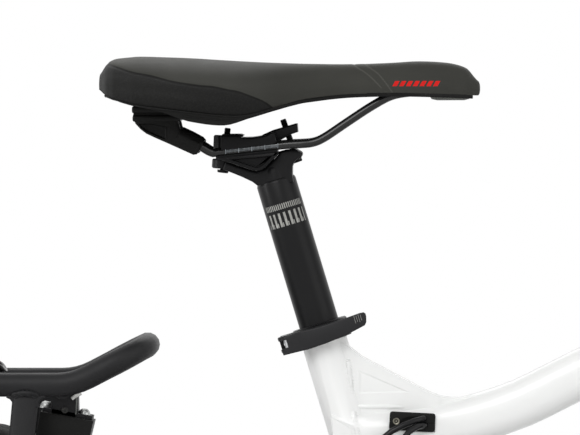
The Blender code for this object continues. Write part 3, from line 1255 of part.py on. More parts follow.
# Wheels
FACET = 1 / math.cos(math.pi / WHEEL_SEGMENTS)     # puts a flat of the tyre, not a corner, on the ground
REAR_HUB = [(26, -45), (42, -34), (42, -30), (35, -25), (35, 22), (42, 27), (42, 31), (24, 36), (24, 42.7)]
FRONT_HUB = [(13, -42), (14, -31), (23, -29), (23, -25), (14, -20), (14, 20), (23, 25), (23, 29), (20, 33),
             (20, 36.7)]
FRONT_DISC_OFFSET = 38 * MM


def make_wheel(prefix, centre, hub_profile, flange, flange_y, disc_y, half_width, nut, carrier, frame_carrier):
    bore = AXLE_DIAMETER / 2 + GAP
    hub_points = [(r * MM, y * MM) for r, y in hub_profile]
    profile = [(bore, hub_points[0][1])] + hub_points + [(bore, hub_points[-1][1])]
    hub = turned(profile, centre, Y_AXIS, 12, closed=True)
    rim_inner = RIM_RADIUS - RIM_DEPTH
    spokes = []
    for k in range(SPOKES):
        side = -1 if k % 2 else 1
        angle = 2 * math.pi * (k + 0.5) / SPOKES
        low = angle + 0.6 * side
        out = vec(math.cos(angle), 0, math.sin(angle))
        root = vec(math.cos(low), 0, math.sin(low))
        start = centre + root * (flange - 4 * MM) + Y_AXIS * side * flange_y
        stop = centre + out * (rim_inner - 0.5 * MM) + Y_AXIS * side * 3 * MM
        spokes.append(rod(start, stop, SPOKE_DIAMETER, 4))
    piece(prefix + "_hub", join(hub, *spokes), ALUMINIUM, carrier)
    half = RIM_WIDTH / 2
    rim = [(rim_inner, -7 * MM), (rim_inner, 7 * MM), (RIM_RADIUS - 10 * MM, half), (RIM_RADIUS, half),
           (RIM_RADIUS, -half), (RIM_RADIUS - 10 * MM, -half)]
    rim = [(r * FACET, y) for r, y in rim]
    piece(prefix + "_rim", turned(rim, centre, Y_AXIS, WHEEL_SEGMENTS, closed=True), BLACK_SATIN, carrier)
    side_y = TYRE_WIDTH / 2
    seat = RIM_RADIUS + GAP
    tyre = [(seat, -11 * MM), (WHEEL_RADIUS - 17 * MM, -side_y), (WHEEL_RADIUS, -TREAD_HALF_WIDTH)]
    tyre += [(r, -y) for r, y in reversed(tyre)]
    tyre = [(r * FACET, y) for r, y in tyre]
    piece(prefix + "_tyre", turned(tyre, centre, Y_AXIS, WHEEL_SEGMENTS, closed=True), RUBBER, carrier)
    make_disc(prefix + "_brake_disc", centre + Y_AXIS * disc_y, carrier)
    make_axle(prefix + "_axle", centre, half_width, nut, frame_carrier)


def make_disc(name, centre, carrier):
    half = DISC_THICKNESS / 2
    band = turned([(DISC_RADIUS - 15 * MM, -half), (DISC_RADIUS, -half), (DISC_RADIUS, half),
                   (DISC_RADIUS - 15 * MM, half)], centre, Y_AXIS, 20, closed=True)
    bore = AXLE_DIAMETER / 2 + 2 * GAP
    middle = turned([(bore, -half), (24 * MM, -half), (24 * MM, half), (bore, half)], centre, Y_AXIS, 10,
                    closed=True)
    arms = []
    for k in range(5):
        angle = 2 * math.pi * k / 5 + 0.2
        out = vec(math.cos(angle), 0, math.sin(angle))
        lean = vec(math.cos(angle + 0.35), 0, math.sin(angle + 0.35))
        start = centre + lean * 20 * MM
        stop = centre + out * (DISC_RADIUS - 11 * MM)
        along = (stop - start).normalized()
        arms.append(block((start + stop) / 2, ((stop - start).length, DISC_THICKNESS * 0.9, 7 * MM),
                          (along, Y_AXIS, along.cross(Y_AXIS))))
    piece(name, join(band, *arms, middle), STEEL, carrier)


def make_axle(name, centre, half_width, nut, carrier):
    """An axle with a nut outside each dropout."""
    radius = AXLE_DIAMETER / 2
    inner = half_width + nut[0] + GAP
    outer = inner + nut[1]
    wide = nut[2] / 2
    profile = [(0, -outer), (wide, -outer), (wide, -inner), (radius, -inner), (radius, inner), (wide, inner),
               (wide, outer), (0, outer)]
    piece(name, turned(profile, centre, Y_AXIS, 12), STEEL, carrier)


def caliper(centre, angle, disc_radius, disc_y, inner_y, outer_y, size):
    """A brake caliper at an angle in degrees round the axle, open towards it for the disc."""
    out = vec(math.cos(math.radians(angle)), 0, math.sin(math.radians(angle)))
    across = vec(-out.z, 0, out.x)
    middle = centre + out * (disc_radius - 12 * MM) + Y_AXIS * (inner_y + outer_y) / 2
    body = block(middle, (size[0], abs(outer_y - inner_y), size[1]), (out, Y_AXIS, across), 3 * MM)
    slot_end = disc_radius + 2 * MM
    slot_start = disc_radius - 60 * MM
    slot = block(centre + out * (slot_start + slot_end) / 2 + Y_AXIS * disc_y,
                 (slot_end - slot_start, DISC_THICKNESS + 1.4 * MM, size[1] + 20 * MM), (out, Y_AXIS, across))
    return cut(body, slot)


def make_wheels():
    make_wheel("rear", REAR_AXLE, REAR_HUB, 42 * MM, 32 * MM, DISC_OFFSET, DROPOUT_HALF_WIDTH,
               (DROPOUT_THICKNESS, 9 * MM, 24 * MM), rear_axis, frame_axis)
    make_wheel("front", FRONT_AXLE, FRONT_HUB, 23 * MM, 27 * MM, FRONT_DISC_OFFSET, FRONT_HUB_HALF_WIDTH,
               (LUG_THICKNESS, 5 * MM, 22 * MM), front_axis, fork_axis)
    rear = caliper(REAR_AXLE, 18, DISC_RADIUS, DISC_OFFSET, 32 * MM, DROPOUT_HALF_WIDTH - GAP, (38 * MM, 34 * MM))
    piece("rear_caliper", rear, BLACK_SATIN, frame_axis)


# Fork, measured from the front axle: forward and up the steering axis
LUG_THICKNESS = 12 * MM
LEG_SETBACK = 38 * MM           # leg centre line behind the front axle
LEG_TOP = 300 * MM
CROWN_HEIGHT = 34 * MM
CROWN_LOBE = 20 * MM
STANCHION_END = 112 * MM
ARCH_FORWARD = 3 * MM
ARCH_TOP = 381 * MM
LUG_OUTLINE = [(-58, -22), (-20, -26), (9, -15), (13, 4), (4, 15), (-18, 34), (-50, 66), (-58, 60)]
FRONT_GUARD_FIRST = 38
FRONT_GUARD_LAST = 202
STRUT_EYE = 47.7 * MM             # outer face of each stay's eye, against the leg
STEERER_TOP = HEAD_TOP + HEAD_UP * 58 * MM


def at_fork(forward, up, y=0.0):
    return FRONT_AXLE + HEAD_FORWARD * forward + HEAD_UP * up + Y_AXIS * y


def make_fork_steerer():
    crown_top = (CROWN_SEAT - at_fork(-FORK_OFFSET, 0)).length
    crown_low = crown_top - CROWN_HEIGHT
    y = STANCHION_SPACING / 2
    steerer = rod(at_fork(-FORK_OFFSET, crown_top - 10 * MM), STEERER_TOP, STEERER_DIAMETER, 16)
    race = rod(at_fork(-FORK_OFFSET, crown_top - 4 * MM), HEAD_BOTTOM - HEAD_UP * GAP, 46 * MM, 16)
    bridge = block(at_fork(-LEG_SETBACK - 3 * MM, crown_top - CROWN_HEIGHT / 2),
                   (40 * MM, 2 * y, CROWN_HEIGHT - 2 * MM), (HEAD_FORWARD, Y_AXIS, HEAD_UP), 3 * MM)
    parts = [race, bridge]
    for side in (-1, 1):
        lobe_low = at_fork(-LEG_SETBACK, crown_low, side * y)
        lobe_high = at_fork(-LEG_SETBACK, crown_top - 1.5 * MM, side * y)
        parts.append(rod(lobe_low, lobe_high, 2 * CROWN_LOBE, 16))
        parts.append(rod(at_fork(-LEG_SETBACK, STANCHION_END, side * y),
                         at_fork(-LEG_SETBACK, crown_low + 6 * MM, side * y), STANCHION_DIAMETER, 16))
    piece("fork_steerer", join(steerer, *parts), BLACK_SATIN, steer_axis)


def make_fork_lowers():
    y = STANCHION_SPACING / 2
    parts = []
    bores = []
    for side in (-1, 1):
        leg = [at_fork(-LEG_SETBACK, u * MM, side * y) for u in (-34, -24, 250, 300)]
        widths = [24, 38, 42, 43]
        rings = [oval(p, Y_AXIS, HEAD_FORWARD, w / 2 * MM, w / 2 * MM, 16) for p, w in zip(leg, widths)]
        parts.append(lofted(rings))
        parts.append(plate([(a * MM, b * MM) for a, b in LUG_OUTLINE],
                           FRONT_AXLE + Y_AXIS * side * (FRONT_HUB_HALF_WIDTH + LUG_THICKNESS / 2),
                           LUG_THICKNESS, HEAD_FORWARD, HEAD_UP))
        bores.append(rod(at_fork(-LEG_SETBACK, STANCHION_END - FORK_TRAVEL - 3 * MM, side * y),
                         at_fork(-LEG_SETBACK, LEG_TOP + 0.05, side * y), STANCHION_DIAMETER + 2 * GAP, 16))
    arch_route = [at_fork(-24 * MM, 272 * MM, -y), at_fork(-6 * MM, 300 * MM, -y - 1 * MM),
                  at_fork(ARCH_FORWARD, 336 * MM, -y + 9 * MM), at_fork(ARCH_FORWARD, 370 * MM, -y + 32 * MM),
                  at_fork(ARCH_FORWARD, ARCH_TOP, -16 * MM)]
    arch_route += [vec(p.x, -p.y, p.z) for p in reversed(arch_route)]
    arch = swept(arch_route, lambda t: (7 * MM, 6 * MM), 6, 2.4, HEAD_FORWARD)
    axle_hole = rod(FRONT_AXLE - Y_AXIS * 0.1, FRONT_AXLE + Y_AXIS * 0.1, AXLE_DIAMETER + 2 * GAP, 12)
    mount = block(at_fork(-52 * MM, 62 * MM, 48.5 * MM), (26 * MM, 9 * MM, 40 * MM),
                  (HEAD_FORWARD, Y_AXIS, HEAD_UP))
    lowers = cut(join(parts[0], *parts[1:], arch, mount), axle_hole, *bores)
    piece("fork_lowers", lowers, BLACK_PLASTIC, fork_axis)


def make_front_caliper():
    y_outer = 44 * MM - GAP
    body = caliper(FRONT_AXLE, 131, DISC_RADIUS, FRONT_DISC_OFFSET, 27 * MM, y_outer, (36 * MM, 34 * MM))
    piece("front_caliper", body, BLACK_SATIN, fork_axis)


def make_front_mudguard():
    shell = mudguard_turn(MUDGUARD_RADIUS, MUDGUARD_RADIUS - MUDGUARD_WALL, MUDGUARD_WIDTH, FRONT_AXLE,
                          FRONT_GUARD_FIRST, FRONT_GUARD_LAST, 20, MUDGUARD_DROP)
    struts = []
    for side in (-1, 1):
        y = side * (MUDGUARD_WIDTH / 2 - 1.5 * MM)
        eye = side * STRUT_EYE
        low = at_fork(-40 * MM, 20 * MM, eye - side * 2.2 * MM)
        struts.append(rod(low - Y_AXIS * side * 2 * MM, at_fork(-40 * MM, 20 * MM, eye), 10 * MM, 8))
        angle = math.radians(196)
        out = vec(math.cos(angle), 0, math.sin(angle))
        high = FRONT_AXLE + out * (MUDGUARD_RADIUS - MUDGUARD_DROP - 1 * MM) + Y_AXIS * y
        struts.append(rod(low, high, 4 * MM, 6))
    piece("front_mudguard", join(shell, *struts), BLACK_PLASTIC, fork_axis)


def make_headlight():
    centre = CROWN_SEAT + HEAD_UP * 14 * MM + HEAD_FORWARD * 62 * MM
    lamp = turned([(0, -26 * MM), (16 * MM, -24 * MM), (24 * MM, 0), (25 * MM, 24 * MM), (22 * MM, 27 * MM),
                   (0, 28 * MM)], centre, X_AXIS, 16)
    crown_face = CROWN_SEAT + HEAD_FORWARD * (FORK_OFFSET - LEG_SETBACK - 3 * MM + 20 * MM + GAP)
    arm = block(crown_face - HEAD_UP * 9 * MM + HEAD_FORWARD * 13 * MM, (26 * MM, 14 * MM, 7 * MM),
                (HEAD_FORWARD, Y_AXIS, HEAD_UP))
    piece("headlight", join(lamp, arm), LENS, steer_axis)


# Handlebar and controls
BAR_CENTRE = HEAD_TOP + HEAD_UP * 74 * MM + HEAD_FORWARD * 85 * MM
BAR_BEND = (-16, 165, 32)
BAR_ROUTE = [(0, 0, 0), (0, 42, 0), (-1, 78, 6), (-7, 122, 25), BAR_BEND]
BAR_TIP = (-75, BAR_WIDTH / 2 / MM, 30)
GRIP_START = 46 * MM
GRIP_LENGTH = 128 * MM
GRIP_DIAMETER = 32 * MM


def at_bar(x, y, z, side=1):
    return BAR_CENTRE + vec(x * MM, side * y * MM, z * MM)


def bar_line(side):
    """The straight end of the bar: its start and its direction outwards."""
    start = at_bar(*BAR_BEND, side)
    return start, (at_bar(*BAR_TIP, side) - start).normalized()


def make_handlebar():
    half = smooth_route([at_bar(*p) for p in BAR_ROUTE], 34 * MM)
    half.append(at_bar(*BAR_TIP))
    route = [vec(p.x, -p.y, p.z) for p in reversed(half)] + half[1:]
    rings = []
    for k, point in enumerate(route):
        tangent = (route[min(k + 1, len(route) - 1)] - route[max(k - 1, 0)]).normalized()
        across = (Z_AXIS - tangent * tangent.z).normalized()
        share = min(1.0, max(0.0, (abs(point.y) - 36 * MM) / (44 * MM)))
        radius = (BAR_CLAMP_DIAMETER * (1 - share) + BAR_DIAMETER * share) / 2
        rings.append(oval(point, across, tangent.cross(across), radius, radius, 12))
    piece("handlebar", lofted(rings), BLACK_SATIN, steer_axis)


def make_stem():
    base = HEAD_TOP + HEAD_UP * GAP
    sleeve = rod(base, STEERER_TOP + HEAD_UP * 4 * MM, 40 * MM, 16)
    clamp = rod(BAR_CENTRE - Y_AXIS * 22 * MM, BAR_CENTRE + Y_AXIS * 22 * MM, 43 * MM, 16)
    arm = tapered([HEAD_TOP + HEAD_UP * 38 * MM, BAR_CENTRE], (34 * MM, 34 * MM), (40 * MM, 32 * MM), 12, 2.6)
    bar_room = rod(BAR_CENTRE - Y_AXIS * 0.036, BAR_CENTRE + Y_AXIS * 0.036, BAR_CLAMP_DIAMETER + 2 * GAP, 16)
    steerer_room = rod(base - HEAD_UP * 0.05, STEERER_TOP + HEAD_UP * GAP, STEERER_DIAMETER + 2 * GAP, 16)
    piece("stem", cut(join(sleeve, clamp, arm), bar_room, steerer_room), BLACK_SATIN, steer_axis)


def make_controls(side, end):
    start, along = bar_line(side)
    bore = BAR_DIAMETER / 2 + GAP
    radius = GRIP_DIAMETER / 2
    grip_start = start + along * GRIP_START
    length = GRIP_LENGTH
    profile = [(bore, 0), (radius + 2 * MM, 0), (radius + 2 * MM, 4 * MM), (radius, 6 * MM),
               (radius - 1 * MM, length * 0.5), (radius + 1 * MM, length - 8 * MM), (radius - 3 * MM, length),
               (bore, length)]
    piece("grip_" + end, turned(profile, grip_start, along, 12, Z_AXIS, closed=True), RUBBER, steer_axis)

    forward = (X_AXIS * 0.86 - Z_AXIS * 0.5)
    forward = (forward - along * forward.dot(along)).normalized()
    normal = along.cross(forward)
    ring_place = start + along * 12 * MM
    ring = turned([(bore, -6 * MM), (radius + 0.5 * MM, -6 * MM), (radius + 0.5 * MM, 6 * MM), (bore, 6 * MM)],
                  ring_place, along, 12, forward, closed=True)
    body = block(ring_place + forward * 27 * MM - along * 6 * MM, (30 * MM, 34 * MM, 15 * MM),
                 (forward, along, forward.cross(along)), 3 * MM)
    pivot_place = ring_place + forward * 42 * MM + along * 4 * MM
    fork_room = block(pivot_place + along * 9 * MM, (24 * MM, 30 * MM, 7.6 * MM),
                      (forward, along, forward.cross(along)))
    pin = rod(pivot_place - normal * 7 * MM, pivot_place + normal * 7 * MM, 4 * MM, 10)
    piece("brake_master_" + end, join(cut(join(ring, body), fork_room), pin), BLACK_SATIN, steer_axis)

    route = [pivot_place - along * 1 * MM, pivot_place + along * 16 * MM + forward * 6 * MM,
             pivot_place + along * 50 * MM + forward * 9 * MM, pivot_place + along * 92 * MM + forward * 5 * MM,
             pivot_place + along * 104 * MM + forward * 8 * MM]
    blade = swept(smooth_route(route, 26 * MM), lambda t: ((3.4 + 2 * t) * MM, 3.2 * MM), 8, 2.6, normal)
    eye = rod(pivot_place - normal * 3.4 * MM, pivot_place + normal * 3.4 * MM, 12 * MM, 14)
    hole = rod(pivot_place - normal * 0.01, pivot_place + normal * 0.01, 4 * MM + 2 * GAP, 12)
    lever_axis = pivot("brake_lever_axis_" + end, pivot_place, steer_axis)
    piece("brake_lever_" + end, cut(join(blade, eye), hole), ALUMINIUM, lever_axis)


def make_twist_shifter():
    start, along = bar_line(-1)
    bore = BAR_DIAMETER / 2 + GAP
    profile = [(bore, 0), (16 * MM, 0), (19 * MM, 3 * MM), (19 * MM, 17 * MM), (17 * MM, 20 * MM),
               (bore, 20 * MM)]
    place = start + along * 24 * MM
    shifter_axis = pivot("shifter_axis", place, steer_axis)
    sleeve = turned(profile, place, along, 14, Z_AXIS, closed=True)
    piece("twist_shifter", sleeve, RUBBER, shifter_axis)


def make_display():
    """The display over the stem, on a two-footed clamp round the bar."""
    seat = BAR_CENTRE
    up = vec(-0.5, 0, 0.866)
    along = Y_AXIS.cross(up)
    screen = block(seat + up * 35 * MM, (48 * MM, 70 * MM, 13 * MM), (along, Y_AXIS, up), 3 * MM)
    feet = []
    bore = BAR_CLAMP_DIAMETER / 2 + GAP
    for side in (-1, 1):
        ring = turned([(bore, -3.5 * MM), (bore + 4 * MM, -3.5 * MM), (bore + 4 * MM, 3.5 * MM), (bore, 3.5 * MM)],
                      seat + Y_AXIS * side * 28 * MM, Y_AXIS, 12, closed=True)
        post = block(seat + Y_AXIS * side * 28 * MM + up * 25 * MM, (9 * MM, 7 * MM, 14 * MM),
                     (along, Y_AXIS, up))
        feet += [ring, post]
    piece("display", join(screen, *feet), BLACK_PLASTIC, steer_axis)


def make_stand_leg():
    """The side stand: its head on the frame's boss, its leg, and a foot flat on the ground."""
    stand_axis = pivot("stand_axis", STAND_PIVOT, frame_axis)
    head = rod(STAND_PIVOT + STAND_AXIS * GAP, STAND_PIVOT + STAND_AXIS * 20 * MM, STAND_HEAD_DIAMETER, 14)
    top = STAND_PIVOT + STAND_AXIS * 11 * MM
    lean = vec(0.05, 0.36, -0.93).normalized()
    foot = top + lean * (top.z / -lean.z)
    leg = tapered([top, foot - lean * 20 * MM], (18 * MM, 18 * MM), (15 * MM, 15 * MM), 10)
    shoe = block(foot + Z_AXIS * 9 * MM, (52 * MM, 34 * MM, 18 * MM), bevel=3 * MM)
    piece("stand_leg", join(head, leg, shoe), BLACK_SATIN, stand_axis)


def make_fork_group():
    make_fork_steerer()
    make_fork_lowers()
    make_front_caliper()
    make_front_mudguard()
    make_headlight()


def make_control_group():
    make_handlebar()
    make_stem()
    make_controls(-1, "right")
    make_controls(1, "left")
    make_twist_shifter()
    make_display()


def make_drive_group():
    make_motor()
    make_battery()
    make_crank_axle()
    make_crank(-1, "crank_arm_right", "pedal_right")
    make_crank(1, "crank_arm_left", "pedal_left")
    make_chainring()
    make_chain_guard()
    make_rear_sprocket()
    make_chain()


make_saddle_group()
make_frame_group()
make_drive_group()
make_wheels()
make_fork_group()
make_control_group()
make_stand_leg()
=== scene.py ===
import math

import bmesh
import bpy
import numpy
from bpy.props import FloatProperty, FloatVectorProperty, IntProperty, PointerProperty
from mathutils import Matrix, Vector


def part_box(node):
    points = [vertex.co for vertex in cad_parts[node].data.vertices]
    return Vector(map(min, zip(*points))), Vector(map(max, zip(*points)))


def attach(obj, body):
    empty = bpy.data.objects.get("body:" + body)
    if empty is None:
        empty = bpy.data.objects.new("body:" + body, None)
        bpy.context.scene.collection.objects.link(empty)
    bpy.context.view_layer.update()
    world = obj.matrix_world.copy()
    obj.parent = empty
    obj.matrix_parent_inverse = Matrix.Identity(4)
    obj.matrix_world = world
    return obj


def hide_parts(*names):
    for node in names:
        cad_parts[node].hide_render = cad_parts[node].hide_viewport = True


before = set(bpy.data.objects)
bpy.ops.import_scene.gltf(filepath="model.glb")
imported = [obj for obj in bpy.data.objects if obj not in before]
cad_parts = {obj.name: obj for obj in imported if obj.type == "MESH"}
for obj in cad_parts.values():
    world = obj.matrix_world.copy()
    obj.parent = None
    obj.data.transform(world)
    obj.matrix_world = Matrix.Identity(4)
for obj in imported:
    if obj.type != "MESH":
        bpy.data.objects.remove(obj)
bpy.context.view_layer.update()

bl_info = {
    "name": "Electric trekking bike",
    "version": (1, 0, 0),
    "blender": (4, 5, 0),
    "location": "View3D > Sidebar > Bike",
    "description": "Dresses the bike's frame with its saddle, cables, tyres, small parts and finishes",
    "category": "Object",
}

MM = 0.001
X_AXIS = Vector((1, 0, 0))
Y_AXIS = Vector((0, 1, 0))
Z_AXIS = Vector((0, 0, 1))


def leaning(degrees):
    """The upward and the forward direction of a tube that leans back, by its angle to the ground."""
    lean = math.radians(degrees)
    return Vector((-math.cos(lean), 0, math.sin(lean))), Vector((math.sin(lean), 0, math.cos(lean)))


SEAT_UP, SEAT_FORWARD = leaning(73.17)
SEAT_TOP = Vector((0.32226, 0, 0.79390))
POST_EXPOSED = 147
POST_RADIUS = 15.8
CRADLE_SEAT = SEAT_TOP + SEAT_UP * POST_EXPOSED * MM
HEAD_UP, HEAD_FORWARD = leaning(70)
HEAD_TOP = Vector((0.86465, 0, 0.95744))
WHEEL_RADIUS = 355
WHEELBASE = 1135
CRANK_CENTRE = Vector((0.47166, 0, 0.300))
PHOTO_WIDTH = 580
PHOTO_SCALE = 0.785


def colour_of(name, text, default):
    return FloatVectorProperty(name=name, description=text, default=default, size=3, min=0, max=1,
                               subtype="COLOR")


def length_of(name, text, default):
    return FloatProperty(name=name, description=text, default=default, min=0, unit="LENGTH", precision=4)


class BikeColours(bpy.types.PropertyGroup):
    paint: colour_of("Frame paint", "Gloss paint of the frame", (0.85, 0.855, 0.845))
    powder: colour_of("Rack coat", "Powder coat of the rear rack", (0.0075, 0.0075, 0.008))
    anodised: colour_of("Anodised black", "Seatpost, bars, rims and cranks", (0.008, 0.008, 0.0085))
    vinyl: colour_of("Saddle top", "Vinyl on the top of the saddle", (0.040, 0.040, 0.035))
    panel: colour_of("Saddle side", "Textured vinyl on the saddle's sides", (0.009, 0.009, 0.0085))
    accent: colour_of("Accent", "Printed bars on the saddle's nose", (0.62, 0.012, 0.010))


class BikeSizes(bpy.types.PropertyGroup):
    cable: length_of("Cable width", "Diameter of the two cables at the port", 0.005)
    rail: length_of("Saddle rail width", "Diameter of the saddle's rails", 0.007)
    tread: length_of("Tread height", "How far a tyre's tread blocks stand up", 0.0016)
    grain: FloatProperty(name="Vinyl grain", description="Depth of the grain in the saddle's vinyl",
                         default=0.28, min=0, max=1, subtype="FACTOR")
    knobs: IntProperty(name="Tread blocks", description="Tread blocks in one row round a tyre",
                       default=76, min=20, max=120)


# Finishes: each is a small node tree on Object coordinates

def scaled(colour, factor):
    return tuple(min(1.0, channel * factor) for channel in colour)


class Nodes:
    """Short ways to add nodes to one node tree."""

    def __init__(self, tree):
        self.tree = tree

    def feed(self, node, sockets):
        """Links sockets to other nodes' outputs, or sets them to numbers, vectors and colours."""
        for key, value in sockets.items():
            socket = node.inputs[key]
            if isinstance(value, bpy.types.NodeSocket):
                self.tree.links.new(value, socket)
            else:
                socket.default_value = (*value, 1) if socket.type == "RGBA" else value

    def add(self, kind, sockets, **fields):
        """The outputs of a new node, with its settings made and its sockets fed."""
        node = self.tree.nodes.new("ShaderNode" + kind)
        for field, value in fields.items():
            setattr(node, field, value)
        self.feed(node, sockets)
        return node.outputs

    def maths(self, kind, first, second=0):
        return self.add("Math", {0: first, 1: second}, operation=kind)["Value"]

    def times(self, *factors):
        """The product of two or more values."""
        product = factors[0]
        for factor in factors[1:]:
            product = self.maths("MULTIPLY", product, factor)
        return product

    def within(self, value, low, high):
        """1 between two limits and 0 outside them."""
        return self.times(self.maths("GREATER_THAN", value, low), self.maths("LESS_THAN", value, high))

    def striped(self, value, pitch, share):
        """1 on the first share of every pitch and 0 on the rest."""
        place = self.maths("FRACT", self.maths("DIVIDE", value, pitch))
        return self.maths("LESS_THAN", place, share)

    def spread(self, source, low, high):
        """A value between 0 and 1 stretched to run from low to high."""
        return self.add("MapRange", {"Value": source, "To Min": low, "To Max": high})["Result"]

    def step(self, source, low, high):
        """0 at low and 1 at high, held between."""
        return self.add("MapRange", {"Value": source, "From Min": low, "From Max": high})["Result"]

    def mix(self, share, first, second):
        return self.add("Mix", {"Factor": share, "A": first, "B": second}, data_type="RGBA")["Result"]

    def mix_shader(self, share, first, second):
        return self.add("MixShader", {"Fac": share, 1: first, 2: second})["Shader"]

    def seen_directly(self):
        """1 where a camera, glossy or transmission ray looks, 0 for the light that falls on things."""
        path = self.add("LightPath", {})
        seen = self.maths("ADD", path["Is Camera Ray"], path["Is Glossy Ray"])
        return self.maths("MINIMUM", self.maths("ADD", seen, path["Is Transmission Ray"]), 1.0)


class Finish(Nodes):
    """A new material whose patterns lie on Object coordinates."""

    def __init__(self, name, roughness, metallic=0.0):
        self.material = bpy.data.materials.new(name)
        self.material.use_nodes = True
        super().__init__(self.material.node_tree)
        self.shader = self.tree.nodes["Principled BSDF"]
        self.place = self.add("TexCoord", {})["Object"]
        self.dress({"Roughness": roughness, "Metallic": metallic})

    def dress(self, sockets):
        self.feed(self.shader, sockets)

    def noise(self, scale, detail=4.0, stretch=(1, 1, 1)):
        mapped = self.add("Mapping", {"Vector": self.place, "Scale": stretch})["Vector"]
        settings = {"Vector": mapped, "Scale": scale, "Detail": detail, "Roughness": 0.55}
        return self.add("TexNoise", settings)["Fac"]

    def ramp(self, source, *stops):
        """A colour ramp through two (position, colour) stops; a single number gives a grey."""
        ramp = self.tree.nodes.new("ShaderNodeValToRGB")
        for element, (position, colour) in zip(ramp.color_ramp.elements, stops):
            element.position = position
            element.color = (*colour, 1) if hasattr(colour, "__len__") else (colour, colour, colour, 1)
        self.feed(ramp, {"Fac": source})
        return ramp.outputs["Color"]

    def tones(self, drift, colour, low, high):
        """A colour that drifts between two shades of itself."""
        return self.ramp(drift, (0.3, scaled(colour, low)), (0.7, scaled(colour, high)))

    def gloss(self, low, high, scale, detail=4.0):
        """Uneven roughness between two values."""
        self.dress({"Roughness": self.spread(self.noise(scale, detail), low, high)})

    def bump(self, height, strength, distance):
        raised = self.add("Bump", {"Height": height, "Strength": strength, "Distance": distance})
        self.dress({"Normal": raised["Normal"]})


def grained_finish(name, colour, roughness, spread, grain_size, grain_depth, metallic=0.0, coat=0.0,
                   wear=0.0, brush=(1, 1, 1), specular=0.22):
    """A moulded, coated or turned surface: slow colour drift, fine grain, uneven gloss, and wear on edges."""
    finish = Finish(name, roughness, metallic)
    drift = finish.noise(14, 3)
    tone = finish.tones(drift, colour, 1 - spread, 1 + spread)
    if wear:
        edge = finish.ramp(finish.add("NewGeometry", {})["Pointiness"], (0.52, 0.0), (0.60, 1.0))
        rub = finish.times(edge, finish.ramp(drift, (0.45, 0.0), (0.62, wear)))
        tone = finish.mix(rub, tone, scaled(colour, 3.2))
    finish.dress({"Base Color": tone, "Specular IOR Level": specular})
    finish.gloss(roughness * 0.82, min(1, roughness * 1.18), 45, 5)
    finish.bump(finish.noise(1 / grain_size, 3, brush), 0.35, grain_depth)
    if metallic < 0.5:
        finish.dress({"IOR": 1.32})
    if coat:
        finish.dress({"Coat IOR": 1.35, "Coat Weight": coat, "Coat Roughness": 0.06})


def paint_finish(colour):
    """Gloss white paint: a little orange peel, faint dust and a clear coat."""
    finish = Finish("gloss_white_paint", 0.3)
    tone = finish.tones(finish.noise(5, 4), colour, 0.985, 1.01)
    finish.dress({"Base Color": tone, "Coat Weight": 0.3, "Coat Roughness": 0.1})
    finish.gloss(0.26, 0.36, 60, 5)
    finish.bump(finish.noise(260, 2), 0.12, 0.0003)


def lens_finish(name, colour, pitch):
    """A clear or red lens with moulded ridges under its surface."""
    finish = Finish(name, 0.12)
    wave = finish.add("TexWave", {"Vector": finish.place, "Scale": 1 / pitch}, wave_type="BANDS",
                      bands_direction="Z")["Fac"]
    tone = finish.ramp(wave, (0.2, scaled(colour, 0.65)), (0.8, colour))
    finish.dress({"Base Color": tone, "Coat Weight": 0.8})
    finish.gloss(0.06, 0.16, 90)
    finish.bump(wave, 0.4, 0.0008)


